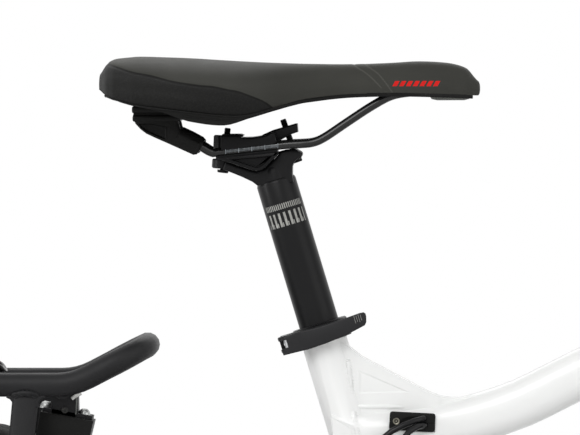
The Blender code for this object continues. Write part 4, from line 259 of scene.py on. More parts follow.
def finishes():
    """All shared finishes by name, made once: colour, roughness, colour drift, grain size and grain depth."""
    if "gloss_white_paint" not in bpy.data.materials:
        colours = bpy.context.scene.bike_colours
        anodised = colours.anodised
        paint_finish(colours.paint)
        grained_finish("rack_powder_coat", scaled(colours.powder, 1.6), 0.5, 0.25, 0.0009, 0.0005,
                       specular=0.45)
        grained_finish("zinc_plate", (0.50, 0.51, 0.50), 0.4, 0.04, 0.003, 0.00001, metallic=1)
        grained_finish("lever_satin", scaled(anodised, 2.2), 0.38, 0.18, 0.0007, 0.0001, specular=0.4)
        grained_finish("satin_anodised", anodised, 0.32, 0.18, 0.0007, 0.00012, wear=0.25)
        grained_finish("gloss_enamel", (0.006, 0.006, 0.0065), 0.24, 0.2, 0.002, 0.0001, coat=0.15)
        grained_finish("moulded_black", (0.008, 0.008, 0.0076), 0.42, 0.2, 0.0011, 0.0004, wear=0.15)
        grained_finish("moulded_grey", (0.055, 0.056, 0.058), 0.45, 0.15, 0.0011, 0.0004)
        grained_finish("soft_rubber", (0.011, 0.011, 0.011), 0.7, 0.25, 0.0009, 0.0004)
        grained_finish("tyre_rubber", (0.014, 0.014, 0.014), 0.66, 0.3, 0.0014, 0.0005)
        grained_finish("bright_steel", (0.56, 0.57, 0.58), 0.27, 0.06, 0.0006, 0.0001, metallic=1,
                       brush=(1, 9, 1))
        grained_finish("satin_aluminium", (0.48, 0.48, 0.49), 0.38, 0.06, 0.0007, 0.0001, metallic=1,
                       brush=(1, 6, 1))
        grained_finish("black_bolt", (0.007, 0.007, 0.007), 0.34, 0.15, 0.0006, 0.0001, wear=0.3)
        grained_finish("worn_black", (0.05, 0.05, 0.048), 0.4, 0.3, 0.0007, 0.0001, metallic=0.2)
        grained_finish("worn_aluminium", (0.22, 0.22, 0.21), 0.5, 0.1, 0.0007, 0.0001, metallic=0.3)
        grained_finish("aged_screw", (0.20, 0.19, 0.155), 0.34, 0.25, 0.0007, 0.0001, metallic=1)
        grained_finish("white_nylon", (0.62, 0.62, 0.60), 0.4, 0.05, 0.0012, 0.0001)
        grained_finish("smoky_plastic", (0.16, 0.165, 0.155), 0.3, 0.15, 0.0012, 0.0002)
        grained_finish("cable_jacket", (0.008, 0.008, 0.0085), 0.24, 0.2, 0.0012, 0.0001, coat=0.35)
        grained_finish("display_dark_glass", (0.010, 0.012, 0.014), 0.08, 0.2, 0.004, 0.00002, coat=0.9)
        lens_finish("clear_lens", (0.72, 0.75, 0.78), 0.004)
        lens_finish("red_lens", (0.42, 0.01, 0.008), 0.003)
    return bpy.data.materials


# Modelling helpers: places in metres, widths, outlines and profiles in millimetres

def at(x, y, z):
    """A place from millimetres forward of, left of and above the ground under the rear axle."""
    return Vector((x, y, z)) * MM


def mirrored(points):
    """The points on the other side of the mid-plane, from last to first."""
    return [Vector((point.x, -point.y, point.z)) for point in reversed(points)]


def round_angles(count):
    return [2 * math.pi * k / count for k in range(count)]


def select_nothing():
    if bpy.context.object and bpy.context.object.mode != "OBJECT":
        bpy.ops.object.mode_set(mode="OBJECT")
    bpy.ops.object.select_all(action="DESELECT")


def hermite(before, start, stop, after, t):
    """A place between start and stop on a smooth curve that also passes through the points beside them."""
    return 0.5 * (2 * start + (stop - before) * t + (2 * before - 5 * start + 4 * stop - after) * t ** 2
                  + (3 * start - before - 3 * stop + after) * t ** 3)


def smooth_route(points, step):
    """Points about one step apart along a smooth curve through the given ones."""
    ends = [points[0] * 2 - points[1]] + list(points) + [points[-1] * 2 - points[-2]]
    route = []
    for before, start, stop, after in zip(ends, ends[1:], ends[2:], ends[3:]):
        pieces = max(1, round((stop - start).length / step))
        route += [hermite(before, start, stop, after, k / pieces) for k in range(pieces)]
    route.append(points[-1].copy())
    return route


def bare(name):
    """The last added object, named."""
    piece = bpy.context.object
    piece.name = name
    return piece


def linked(name, mesh):
    """A new object with a mesh, active and alone selected."""
    select_nothing()
    piece = bpy.data.objects.new(name, mesh)
    bpy.context.scene.collection.objects.link(piece)
    bpy.context.view_layer.objects.active = piece
    piece.select_set(True)
    return piece


def pick(piece, kind, test):
    """Selects the vertices, edges or faces of a piece in edit mode for which test is true."""
    bpy.ops.mesh.select_mode(type=kind)
    bpy.ops.mesh.select_all(action="DESELECT")
    bm = bmesh.from_edit_mesh(piece.data)
    parts = {"VERT": bm.verts, "EDGE": bm.edges, "FACE": bm.faces}[kind]
    for part in parts:
        if test(part):
            part.select_set(True)
    bm.select_flush_mode()
    bmesh.update_edit_mesh(piece.data)


def inside(place, xs, ys, zs):
    """Whether a place lies between limits in millimetres, with y counted from the mid-plane outwards."""
    measures = (place.x, abs(place.y), place.z)
    return all(low < value / MM < high for value, (low, high) in zip(measures, (xs, ys, zs)))


def shade(degrees):
    """Shades the active piece smooth, but for edges sharper than an angle."""
    bpy.ops.object.shade_smooth_by_angle(angle=math.radians(degrees))


def close_up(piece, angle=35, doubles=0.00001):
    """Leaves edit mode with doubles merged, faces outward, place in the mesh and edges shaded by angle."""
    if piece.mode != "EDIT":
        bpy.ops.object.mode_set(mode="EDIT")
    bpy.ops.mesh.select_mode(type="VERT")
    bpy.ops.mesh.select_all(action="SELECT")
    bpy.ops.mesh.remove_doubles(threshold=doubles)
    bpy.ops.mesh.normals_make_consistent(inside=False)
    bpy.ops.object.mode_set(mode="OBJECT")
    bpy.ops.object.transform_apply(location=True, rotation=True, scale=True)
    shade(angle)
    return piece


def apply_modifier(piece, kind, **settings):
    modifier = piece.modifiers.new(kind.lower(), kind)
    for field, value in settings.items():
        setattr(modifier, field, value)
    bpy.ops.object.modifier_apply(modifier=modifier.name)


def outline_piece(name, outline, middle, thickness, edge=0.0, segments=2):
    """A disc with a corner for each outline point, pulled to the outline, extruded and bevelled."""
    select_nothing()
    bpy.ops.mesh.primitive_circle_add(vertices=len(outline), radius=0.01, fill_type="NGON", location=middle)
    piece = bare(name)
    bpy.ops.object.mode_set(mode="EDIT")
    bm = bmesh.from_edit_mesh(piece.data)
    bm.verts.ensure_lookup_table()
    for corner, (a, b) in zip(bm.verts, outline):
        corner.co = at(a, thickness / 2, b)
    bmesh.update_edit_mesh(piece.data)
    bpy.ops.mesh.select_all(action="SELECT")
    bpy.ops.mesh.extrude_region_move(TRANSFORM_OT_translate={"value": (0, -thickness * MM, 0)})
    if edge:
        bpy.ops.mesh.select_all(action="SELECT")
        bpy.ops.mesh.normals_make_consistent(inside=False)
        pick(piece, "EDGE", lambda e: abs(e.verts[0].co.y - e.verts[1].co.y) < 1e-6
             and e.calc_face_angle(0) > 0.6)
        bpy.ops.mesh.bevel(offset=edge * MM, segments=segments, profile=0.5, clamp_overlap=True)
    return close_up(piece)


def drawn_path(name, points, width, sides, radii=None):
    """A path through points with a round bevel."""
    select_nothing()
    bpy.ops.curve.primitive_nurbs_path_add()
    path = bare(name)
    curve = path.data
    curve.splines.clear()
    spline = curve.splines.new("POLY")
    spline.points.add(len(points) - 1)
    for point, place, radius in zip(spline.points, points, radii or [1.0] * len(points)):
        point.co = (*place, 1.0)
        point.radius = radius
    spline.use_smooth = True
    curve.dimensions = "3D"
    curve.bevel_depth = width * MM / 2
    curve.bevel_resolution = sides
    curve.use_fill_caps = True
    return path


def tube_piece(name, points, width, sides=4, radii=None, angle=50):
    """A drawn path made a mesh."""
    drawn_path(name, points, width, sides, radii)
    bpy.ops.object.convert(target="MESH")
    return close_up(bpy.context.object, angle)


def turned_piece(name, profile, centre, axis, steps=32, angle=35):
    """A profile of (radius, height) points spun round an axis."""
    select_nothing()
    bpy.ops.mesh.primitive_plane_add(size=0.01, location=(0, 0, 0))
    piece = bare(name)
    bpy.ops.object.mode_set(mode="EDIT")
    bpy.ops.mesh.select_all(action="SELECT")
    bpy.ops.mesh.delete(type="VERT")
    bm = bmesh.from_edit_mesh(piece.data)
    verts = [bm.verts.new((radius * MM, 0, height * MM)) for radius, height in profile]
    for low, high in zip(verts, verts[1:]):
        bm.edges.new((low, high))
    bmesh.update_edit_mesh(piece.data)
    bpy.ops.mesh.select_all(action="SELECT")
    bpy.ops.mesh.spin(steps=steps, angle=2 * math.pi, center=(0, 0, 0), axis=(0, 0, 1))
    bpy.ops.object.mode_set(mode="OBJECT")
    piece.matrix_world = Matrix.Translation(centre) @ axis.to_track_quat("Z", "Y").to_matrix().to_4x4()
    bpy.context.view_layer.update()
    return close_up(piece, angle, 0.00002)


def box_piece(name, centre, size, edge, axes=(X_AXIS, Y_AXIS, Z_AXIS), segments=3):
    """A cube stretched to size, turned onto its axes, with rounded edges."""
    select_nothing()
    bpy.ops.mesh.primitive_cube_add(size=1, location=(0, 0, 0))
    piece = bare(name)
    stretch = Matrix.Diagonal((*(Vector(size) * MM), 1))
    piece.matrix_world = Matrix.Translation(centre) @ Matrix(axes).transposed().to_4x4() @ stretch
    bpy.ops.object.transform_apply(location=True, rotation=True, scale=True)
    bpy.ops.object.mode_set(mode="EDIT")
    bpy.ops.mesh.select_all(action="SELECT")
    bpy.ops.mesh.bevel(offset=edge * MM, segments=segments, profile=0.5)
    return close_up(piece)


def skinned_piece(name, rings, angle):
    """A skin over equal rings of points, with a cap on each end."""
    count = len(rings[0])
    faces = []
    for k in range(0, (len(rings) - 1) * count, count):
        for j in range(count):
            i = (j + 1) % count
            faces.append((k + j, k + i, k + count + i, k + count + j))
    faces.append(tuple(reversed(range(count))))
    faces.append(tuple(range((len(rings) - 1) * count, len(rings) * count)))
    mesh = bpy.data.meshes.new(name)
    mesh.from_pydata([tuple(point) for ring in rings for point in ring], [], faces)
    return close_up(linked(name, mesh), angle)


def joined(name, pieces):
    """Several modelled parts as one object."""
    select_nothing()
    for piece in pieces:
        piece.select_set(True)
    bpy.context.view_layer.objects.active = pieces[0]
    if len(pieces) > 1:
        bpy.ops.object.join()
    return bare(name)


def cut_out(piece, cutter):
    """Cuts one modelled shape out of another and removes the cutter."""
    select_nothing()
    bpy.context.view_layer.objects.active = piece
    piece.select_set(True)
    apply_modifier(piece, "BOOLEAN", operation="DIFFERENCE", object=cutter, solver="EXACT")
    bpy.data.objects.remove(cutter)
    shade(35)
    return piece


def turned_copies(piece, centre, axis, angles):
    """The piece and copies of it turned round an axis, each with its own mesh."""
    group = [piece]
    for angle in angles:
        twin = bpy.data.objects.new(piece.name, piece.data.copy())
        turn_about(twin, centre, axis, angle)
        bpy.context.scene.collection.objects.link(twin)
        group.append(twin)
    return group


def turn_about(piece, centre, axis, angle):
    """Turns a piece's mesh round an axis through a place."""
    turn = Matrix.Rotation(angle, 4, axis)
    piece.data.transform(Matrix.Translation(centre) @ turn @ Matrix.Translation(-centre))


def refined_copy(node, name, angle=40, edge=0.0):
    """A copy of a CAD node, merged, with its flat faces whole again, its edges rounded and smooth shading."""
    piece = linked(name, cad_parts[node].data.copy())
    bpy.ops.mesh.customdata_custom_splitnormals_clear()
    bpy.ops.object.mode_set(mode="EDIT")
    bpy.ops.mesh.select_all(action="SELECT")
    bpy.ops.mesh.remove_doubles(threshold=0.00002)
    if edge:
        bpy.ops.mesh.dissolve_limited(angle_limit=math.radians(0.6))
    bpy.ops.object.mode_set(mode="OBJECT")
    if edge:
        apply_modifier(piece, "BEVEL", width=edge * MM, segments=2, limit_method="ANGLE",
                       angle_limit=math.radians(40), use_clamp_overlap=True)
    shade(angle)
    return piece


def settle(piece, name, body, finish, node=None):
    """Names a finished piece, gives it its finish and its body, and hides the CAD node it stands for."""
    piece.name = name
    piece.data.name = name
    piece.data.materials.clear()
    piece.data.materials.append(finishes()[finish])
    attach(piece, body)
    if node:
        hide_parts(node)


# Cables

CABLE_ROUTES = {
    "rear_brake_hose_run": ("rear_brake_hose", [
        (405.3, -20.0, 722.5), (404.2, -24.6, 722.2), (397.4, -28.0, 720.4), (389.2, -29.8, 717.3),
        (379.6, -31.2, 712.6), (371.4, -31.2, 706.0), (365.6, -29.4, 692.0), (363.6, -26.4, 668),
        (365.6, -24.8, 641), (362, -21, 614), (350, -6, 594), (335, 18, 578), (300, 46, 560), (235, 63, 533),
        (165, 66, 497), (98, 72, 443), (78, 63.5, 412)]),
    "rear_shift_cable_run": ("rear_shift_cable", [
        (405.8, -20.0, 717.0), (404.8, -25.6, 716.8), (399.0, -31.0, 715.9), (393.2, -34.0, 712.4),
        (388.6, -36.0, 706.4), (380.6, -38.2, 692), (360, -40, 666), (330, -49.5, 634), (272, -57.5, 588),
        (165, -64, 495), (80, -72, 428), (40, -81, 388)]),
}


class BIKE_OT_cables(bpy.types.Operator):
    """Lay the brake hose and the shift cable from the port to the rear wheel"""
    bl_idname = "bike.cables"
    bl_label = "Cables"

    def execute(self, context):
        width = context.scene.bike_sizes.cable
        for name, (node, places) in CABLE_ROUTES.items():
            route = smooth_route([at(*place) for place in places], 15 * MM)
            run = drawn_path(name, route, width / MM, 4)
            settle(run, name, "frame_body", "cable_jacket", node)
        return {"FINISHED"}


# Saddle: stations of (distance from the back end, half width, top, side edge, shell thickness), with heights
# from the rails' crossing point, in millimetres

SADDLE_BACK = -129.6
SADDLE_STATIONS = [(0.3, 30, 57.5, 45.0, 0.9), (5, 50, 65.4, 41.4, 0.9), (12, 63, 69.6, 38.2, 0.9),
                   (28, 78, 72.0, 33.4, 1.0), (50, 88, 71.7, 30.2, 2.6), (72, 91, 70.9, 27.4, 7.4),
                   (100, 86, 69.3, 24.4, 7.8), (118, 74, 68.4, 24.9, 3.2), (140, 53, 67.6, 31.4, 2.6),
                   (160, 38, 67.1, 37.2, 2.6), (190, 29, 66.6, 40.8, 2.6), (225, 24, 66.7, 41.5, 2.6),
                   (255, 21, 67.0, 40.9, 2.6), (275, 19, 65.5, 40.4, 2.6), (288, 15.5, 61.4, 40.2, 2.6),
                   (296.5, 8, 51.5, 40.3, 2.4)]
SEAM_LINE = [(-4, 67.5), (10.1, 64.3), (27.4, 59.2), (42.3, 56.6), (59.6, 52.3), (81.6, 49.0), (90.2, 48.4),
             (104.3, 45.4), (111.4, 44.0), (129.1, 36.7), (137.9, 30.3), (150, 20), (310, 0)]
PRESSED_LINES = ([(196, 67.5), (200.5, 63.5), (208, 58.8), (215.0, 52.9), (221, 46.5)],
                 [(206.5, 67.5), (210.8, 63.1), (218, 58.0), (224.5, 50.4), (229.5, 43.0)])


def by_rails(forward, up, y=0.0):
    """A place from millimetres forward of and above the rails' crossing point."""
    return CRADLE_SEAT + at(forward, y, up)


def held(value):
    """A value held between 0 and 1."""
    return min(1, max(0, value))


def saddle_rows(step):
    """Stations about one step apart, with all their measures smoothly between the given ones."""
    rows = []
    knots = [SADDLE_STATIONS[0], *SADDLE_STATIONS, SADDLE_STATIONS[-1]]
    for before, start, stop, after in zip(knots, knots[1:], knots[2:], knots[3:]):
        pieces = max(1, round((stop[0] - start[0]) / step))
        for k in range(pieces):
            row = [hermite(*measures, k / pieces) for measures in zip(before, start, stop, after)]
            row[0] = start[0] + (stop[0] - start[0]) * k / pieces
            rows.append(row)
    rows.append(list(knots[-1]))
    return rows


def foam_under(row, across):
    """Height of the foam's underside, for across from 0 at the middle to 1 at the edge."""
    along, _, top, edge, _ = row
    nose = held((along - 170) / 60)
    middle = max(edge, top - 27 + 14 * nose)
    return edge + (middle - edge) * (1 - across ** 2.6)


def cushion_ring(row, top_points=45, under_points=15):
    """The cushion's section at a station: its underside, then its top with the channel along the middle."""
    along, half, top, edge, _ = row
    channel = 3.0 * max(0.0, math.sin(math.pi * held((along - 30) / 215)))
    sink = 1.5 * held((along - 2) / 20) * held((250 - along) / 120)
    ring = []
    for k in range(under_points):
        across = -0.96 + 1.92 * k / (under_points - 1)
        ring.append((across * half, foam_under(row, abs(across))))
    for k in range(top_points):
        angle = math.pi / 2 * (1 - 2 * k / (top_points - 1))
        lift = abs(math.cos(angle)) ** 0.78
        y = half * math.copysign(abs(math.sin(angle)) ** 0.72, math.sin(angle))
        y *= 0.95 + 0.05 * math.sin(math.pi * min(1, lift * 1.6))
        ring.append((y, edge + (top - edge) * lift - channel * math.exp(-(y / 9) ** 2) - sink * lift))
    return along, ring


def distance_to_line(points, line):
    """Distance in millimetres of (along, height) points from a line of such points."""
    best = numpy.full(len(points), 1e9)
    for start, stop in zip(line, line[1:]):
        a, b = numpy.array(start), numpy.array(stop)
        share = numpy.clip(((points - a) @ (b - a)) / ((b - a) @ (b - a)), 0, 1)
        best = numpy.minimum(best, numpy.linalg.norm(points - a - share[:, None] * (b - a), axis=1))
    return best


def smooth_line(line, step=3.0):
    return [(point.x, point.y) for point in smooth_route([Vector((a, b, 0)) for a, b in line], step)]


def cover_finish():
    """Saddle vinyl: grained top, dotted side panels, a pressed seam with a dark line of painted shade in its
    groove, and printed bars on the nose.
    """
    colours = bpy.context.scene.bike_colours
    finish = Finish("saddle_vinyl_two_tone", 0.62)
    seam = finish.add("Attribute", {}, attribute_name="seam_distance")["Fac"]
    pressed = finish.add("Attribute", {}, attribute_name="pressed_distance")["Fac"]
    top = finish.tones(finish.noise(11, 4), colours.vinyl, 0.86, 1.12)
    dots = finish.add("TexVoronoi", {"Vector": finish.place, "Scale": 720}, feature="F1")["Distance"]
    panel = finish.ramp(dots, (0.15, scaled(colours.panel, 1.35)), (0.55, scaled(colours.panel, 0.85)))
    is_top = finish.ramp(finish.step(seam, -0.35, 0.35), (0.0, 0.0), (1.0, 1.0))
    body = finish.mix(is_top, panel, top)
    beside_seam = finish.maths("ABSOLUTE", seam)
    # Painted shade: the vinyl turns nearly black within a millimetre of the seam, in its groove
    body = finish.mix(finish.step(beside_seam, 0.95, 0.35), body, scaled(colours.vinyl, 0.1))
    body = finish.mix(finish.step(pressed, 0.75, 0.25), body, scaled(colours.vinyl, 1.7))
    body = finish.mix(printed_bars(finish), body, tuple(colours.accent))
    finish.dress({"Base Color": body, "Sheen Weight": 0.05, "Sheen Roughness": 0.4,
                  "Specular IOR Level": 0.3, "IOR": 1.3})
    finish.gloss(0.56, 0.68, 70, 4)
    leather = finish.add("TexVoronoi", {"Vector": finish.place, "Scale": 900}, feature="DISTANCE_TO_EDGE")
    grain = finish.mix(is_top, dots, leather["Distance"])
    finish.bump(grain, bpy.context.scene.bike_sizes.grain, 0.0004)


BAR_START = (0.3797, 0.9824)    # rear lower corner of the printed bars, in metres
BAR_LEAN = 0.55
BAR_PITCH = 0.0053
BARS_LONG = 0.0371
BARS_TALL = 0.0041


def printed_bars(finish):
    """1 on seven slanted bars, printed low on both sides of the nose, and 0 beside them."""
    place = finish.add("SeparateXYZ", {"Vector": finish.place})
    height = finish.maths("SUBTRACT", place["Z"], BAR_START[1])
    leant = finish.maths("SUBTRACT", place["X"], finish.times(height, BAR_LEAN))
    start = finish.maths("SUBTRACT", leant, BAR_START[0])
    return finish.times(finish.striped(start, BAR_PITCH, 0.66), finish.within(height, 0, BARS_TALL),
                        finish.within(start, 0, BARS_LONG))


def rounded_end(along, ring, out):
    """Rings that draw in to close an end, out to a distance past its last section."""
    middle = sum(z for _, z in ring) / len(ring)
    ends = []
    for turn in (78, 60, 38, 16):
        share, push = math.cos(math.radians(turn)), math.sin(math.radians(turn))
        ends.append((along + out * push, [(y * share, middle + (z - middle) * share) for y, z in ring]))
    return ends


class BIKE_OT_saddle_cover(bpy.types.Operator):
    """Model the padded saddle cover with its seam, side panels and pressed lines"""
    bl_idname = "bike.saddle_cover"
    bl_label = "Saddle cover"

    def execute(self, context):
        rings = [cushion_ring(row) for row in saddle_rows(2.6)]
        rings = rounded_end(*rings[0], -1.2) + rings + rounded_end(*rings[-1], 1.6)[::-1]
        cover = skinned_piece("saddle_cushion", [[by_rails(SADDLE_BACK + along, z, y) for y, z in ring]
                                                 for along, ring in rings], 180)
        apply_modifier(cover, "SUBSURF", levels=1, render_levels=1)
        count = len(cover.data.vertices)
        places = numpy.empty(count * 3)
        normals = numpy.empty(count * 3)
        cover.data.vertices.foreach_get("co", places)
        cover.data.vertices.foreach_get("normal", normals)
        places = places.reshape(-1, 3)
        normals = normals.reshape(-1, 3)
        along = (places[:, 0] - CRADLE_SEAT.x) / MM - SADDLE_BACK
        height = (places[:, 2] - CRADLE_SEAT.z) / MM
        side = numpy.stack([along, height], axis=1)
        seam_line = smooth_line(SEAM_LINE[:-2], 4) + SEAM_LINE[-2:]
        above = height - numpy.interp(along, *zip(*seam_line))
        seam = distance_to_line(side, seam_line) * numpy.sign(above)
        under = normals[:, 2] < -0.35
        seam[under] = -20
        pressed = numpy.full(count, 1e3)
        for line in PRESSED_LINES:
            pressed = numpy.minimum(pressed, distance_to_line(side, smooth_line(line)))
        pressed[numpy.abs(places[:, 1]) < 6 * MM] = 1e3
        groove = 0.55 * numpy.exp(-(seam / 0.9) ** 2) + 0.3 * numpy.exp(-(pressed / 0.9) ** 2)
        groove += 0.25 * (seam < 0)
        groove[under] = 0
        places -= normals * groove[:, None] * MM
        cover.data.vertices.foreach_set("co", places.ravel())
        for name, values in (("seam_distance", seam), ("pressed_distance", pressed)):
            attribute = cover.data.attributes.new(name, "FLOAT", "POINT")
            attribute.data.foreach_set("value", values.astype(numpy.float32))
        cover.data.update()
        cover_finish()
        settle(cover, "saddle_cushion", "saddle_post", "saddle_vinyl_two_tone",
               "saddle_cover")
        return {"FINISHED"}


SHELL_REACH = 0.965    # half width of the shell, as a share of the cushion's
SHELL_GAP = 0.25       # between the foam's underside and the shell


def shell_section(row, count=21):
    """A closed ring of the shell: its upper face under the foam and its lower face, rounded at the rims."""
    along, half, _, _, thickness = row
    upper, lower = [], []
    for k in range(count):
        across = SHELL_REACH * (2 * k / (count - 1) - 1)
        y = across * half
        z = foam_under(row, abs(across)) - SHELL_GAP
        depth = 2.4 + (thickness - 2.4) * abs(across / SHELL_REACH) ** 4
        upper.append(by_rails(SADDLE_BACK + along, z, y))
        lower.append(by_rails(SADDLE_BACK + along, z - max(0.8, depth), y * (1 - 0.012 * abs(across))))
    return upper + lower[::-1]


def shell_lip(rows, side, drop, inset, width):
    """A lip along one rim of the shell, as long as the wall is tall enough for it."""
    route = []
    for row in rows:
        along, half, _, _, thickness = row
        if 16 < along < 150 and (drop < 1 or thickness > drop + 1.5):
            route.append(by_rails(SADDLE_BACK + along, foam_under(row, SHELL_REACH) - SHELL_GAP - drop,
                                  side * (half * SHELL_REACH + 0.3 - inset * 0.3)))
    return tube_piece("shell_lip", smooth_route(route, 4 * MM), width, 3)


class BIKE_OT_saddle_shell(bpy.types.Operator):
    """Model the plastic shell under the cover, with its lip and the clear socket at the nose"""
    bl_idname = "bike.saddle_shell"
    bl_label = "Saddle shell"

    def execute(self, context):
        rows = [row for row in saddle_rows(5) if 4 < row[0] < 293]
        shell = skinned_piece("shell_skin", [shell_section(row) for row in rows], 60)
        apply_modifier(shell, "BEVEL", width=0.5 * MM, segments=2, limit_method="ANGLE",
                       angle_limit=math.radians(50))
        parts = [shell]
        for side in (-1, 1):
            parts.append(shell_lip(rows, side, 0.4, 0.4, 1.3))
            parts.append(shell_lip(rows, side, 3.6, 1.2, 0.9))
            parts += [box_piece("shell_boss", by_rails(x, 38, side * 20), (9, 12, 9), 1) for x in (-97, -70)]
        shell = joined("saddle_shell_moulding", parts)
        shade(40)
        settle(shell, "saddle_shell_moulding", "saddle_post", "moulded_black",
               "saddle_shell")
        outline = [(130.6, 37.4), (135.0, 36.5), (156.0, 36.6), (160.0, 37.6), (161.3, 39.5), (160.5, 42.0),
                   (131.8, 46.5), (129.8, 42.0), (129.4, 39.0)]
        socket = outline_piece("nose_socket", outline, CRADLE_SEAT, 18, edge=1.3, segments=3)
        settle(socket, "nose_socket", "saddle_post", "smoky_plastic")
        return {"FINISHED"}


# Saddle rails, their rear block, and the seatpost with its head

RAIL_HALF_ROUTE = [(-58, 4.6, 27), (-50, 0.6, 25), (-41.5, -4.2, 22.3), (-34, -3.6, 22), (14, 1.66, 22),
                   (29, 2.6, 22), (37.5, 3.6, 21.6), (46.5, 7.4, 21), (65.3, 20, 18.6), (84, 32.2, 16),
                   (100, 40.4, 13.5), (118, 43.2, 10.5), (134, 43.8, 8.6), (143, 43.9, 5)]
BLOCK_OUTLINE = [(-102.9, 25.5), (-102.8, 22.5), (-100.9, 18.4), (-96.8, 14.0), (-92.5, 10.7), (-85.0, 7.2),
                 (-76.5, 3.5), (-65.8, -1.3), (-55.6, -5.9), (-53.0, -5.5), (-51.2, -3.4), (-49.6, 3.2),
                 (-50.8, 4.6), (-57.4, 8.2), (-64.0, 12.2), (-66.2, 15.4), (-67.3, 20.0), (-67.3, 25.5)]
POCKET_OUTLINE = [(-98.6, 18.4), (-96.0, 14.8), (-91.8, 12.0), (-83.5, 8.3), (-77.2, 5.9), (-76.4, 15.8),
                  (-81.5, 17.4), (-90.0, 18.6)]


def plate_by_rails(name, outline, thickness, edge, y=0.0, segments=3):
    """A plate upright along the bike, its outline measured from the rails' crossing point."""
    return outline_piece(name, outline, by_rails(0, 0, y), thickness, edge=edge, segments=segments)


RAIL_SCALE_START = 0.2489    # where the printed scale begins, in metres
RAIL_SLOPE = 0.1096
RAIL_RISE = 931.35           # height of the rails' middle line at the scale's start, in millimetres


def rail_finish():
    """Gloss black rails with a printed millimetre scale on the outer sides of their straight parts."""
    finish = Finish("rail_enamel", 0.2)
    place = finish.add("SeparateXYZ", {"Vector": finish.place})
    along = finish.times(finish.maths("SUBTRACT", place["X"], RAIL_SCALE_START), 1000)
    middle = finish.maths("ADD", finish.times(along, RAIL_SLOPE), RAIL_RISE)
    off = finish.maths("ABSOLUTE", finish.maths("SUBTRACT", finish.times(place["Z"], 1000), middle))
    outer = finish.maths("GREATER_THAN", finish.maths("ABSOLUTE", place["Y"]), 0.0225)
    fine = finish.times(finish.striped(along, 1, 0.34), finish.maths("LESS_THAN", off, 1.15))
    tens = finish.times(finish.striped(along, 10.25, 0.055), finish.maths("LESS_THAN", off, 2.1))
    rub = finish.spread(finish.noise(400, 3), 0.35, 1.0)
    marks = finish.times(finish.maths("MAXIMUM", fine, tens), outer, finish.within(along, -0.3, 41.4), rub)
    black = finish.ramp(finish.noise(30, 3), (0.3, 0.006), (0.7, 0.012))
    finish.dress({"Base Color": finish.mix(marks, black, (0.36, 0.40, 0.43)), "Specular IOR Level": 0.3,
                  "Coat Weight": 0.25, "Coat IOR": 1.4, "Coat Roughness": 0.05})
    finish.gloss(0.12, 0.26, 80)
    finish.bump(finish.noise(500, 2), 0.06, 0.0001)


# Rows of the post's printed scale: low, high, pitch and inked share
POST_SCALE = ((96.5, 101.0, 1.7, 0.5), (83.0, 94.0, 4.4, 0.42), (83.0, 86.2, 2.2, 0.3))
SCALE_MIDDLE = 24.8          # arc from the post's front to the middle of its scale
SCALE_HALF_WIDTH = 17.0


def post_finish():
    """Satin anodised seatpost with a printed scale of ticks and bars on its right side."""
    finish = Finish("seatpost_anodised", 0.34)

    def measured(axis):
        """How far a place lies along an axis from the seat tube's top."""
        along = finish.add("VectorMath", {0: finish.place, 1: axis}, operation="DOT_PRODUCT")
        return finish.maths("SUBTRACT", along["Value"], SEAT_TOP.dot(axis))

    rise = finish.times(measured(SEAT_UP), 1000)
    across = finish.add("SeparateXYZ", {"Vector": finish.place})["Y"]
    arc = finish.times(finish.maths("ARCTAN2", across, measured(SEAT_FORWARD)), POST_RADIUS)
    off = finish.maths("ABSOLUTE", finish.maths("ADD", arc, SCALE_MIDDLE))
    marks = 0
    for low, high, pitch, share in POST_SCALE:
        row = finish.times(finish.within(rise, low, high), finish.striped(arc, pitch, share))
        marks = finish.maths("MAXIMUM", marks, row)
    worn = finish.spread(finish.noise(260, 4), 0.3, 1.0)
    marks = finish.times(marks, finish.maths("LESS_THAN", off, SCALE_HALF_WIDTH), worn)
    black = finish.tones(finish.noise(12, 4), bpy.context.scene.bike_colours.anodised, 0.85, 1.15)
    finish.dress({"Base Color": finish.mix(marks, black, (0.52, 0.52, 0.49)), "Specular IOR Level": 0.26,
                  "IOR": 1.36})
    finish.gloss(0.28, 0.38, 60, 5)
    finish.bump(finish.noise(1300, 2), 0.25, 0.0001)


class BIKE_OT_saddle_rails(bpy.types.Operator):
    """Bend the two saddle rails from one round bar, and mould the block at their rear ends"""
    bl_idname = "bike.saddle_rails"
    bl_label = "Saddle rails"

    def execute(self, context):
        left = smooth_route([by_rails(*place) for place in RAIL_HALF_ROUTE], 3 * MM)
        right = mirrored(left[::-1])
        rails = tube_piece("saddle_rail_bar", right + [by_rails(146, 43.9)] + left[::-1],
                           context.scene.bike_sizes.rail / MM, 5)
        rail_finish()
        settle(rails, "saddle_rail_bar", "saddle_post", "rail_enamel", "saddle_rails")

        parts = [box_piece("lip_upper", by_rails(-85.0, 29.4), (37.5, 66, 6.0), 1.9),
                 box_piece("lip_lower", by_rails(-84.4, 22.6), (37.6, 68, 5.4), 1.8),
                 box_piece("lip_gap", by_rails(-85.0, 25.6), (35.0, 63, 3.4), 0.4)]
        for side in (-1, 1):
            leg = plate_by_rails("block_leg", BLOCK_OUTLINE, 15, 2.4, side * 26)
            parts.append(cut_out(leg, plate_by_rails("block_pocket", POCKET_OUTLINE, 14, 1.4, side * 36.5)))
            sleeve = [by_rails(a, b, side * y) for a, b, y in ((-68, 9.6, 28.8), (-60, 5.2, 27.3),
                                                             (-53.0, 1.4, 25.6), (-50.6, 0.0, 25.0))]
            parts.append(tube_piece("block_sleeve", sleeve, 13.4, 5, (0.9, 1.0, 1.0, 0.86)))
            parts.append(box_piece("block_rib", by_rails(-76.9, 11.0, side * 30.2), (1.7, 7.4, 9.6), 0.5))
        settle(joined("rail_block", parts), "rail_block", "saddle_post", "moulded_black",
               "saddle_rear_block")
        return {"FINISHED"}


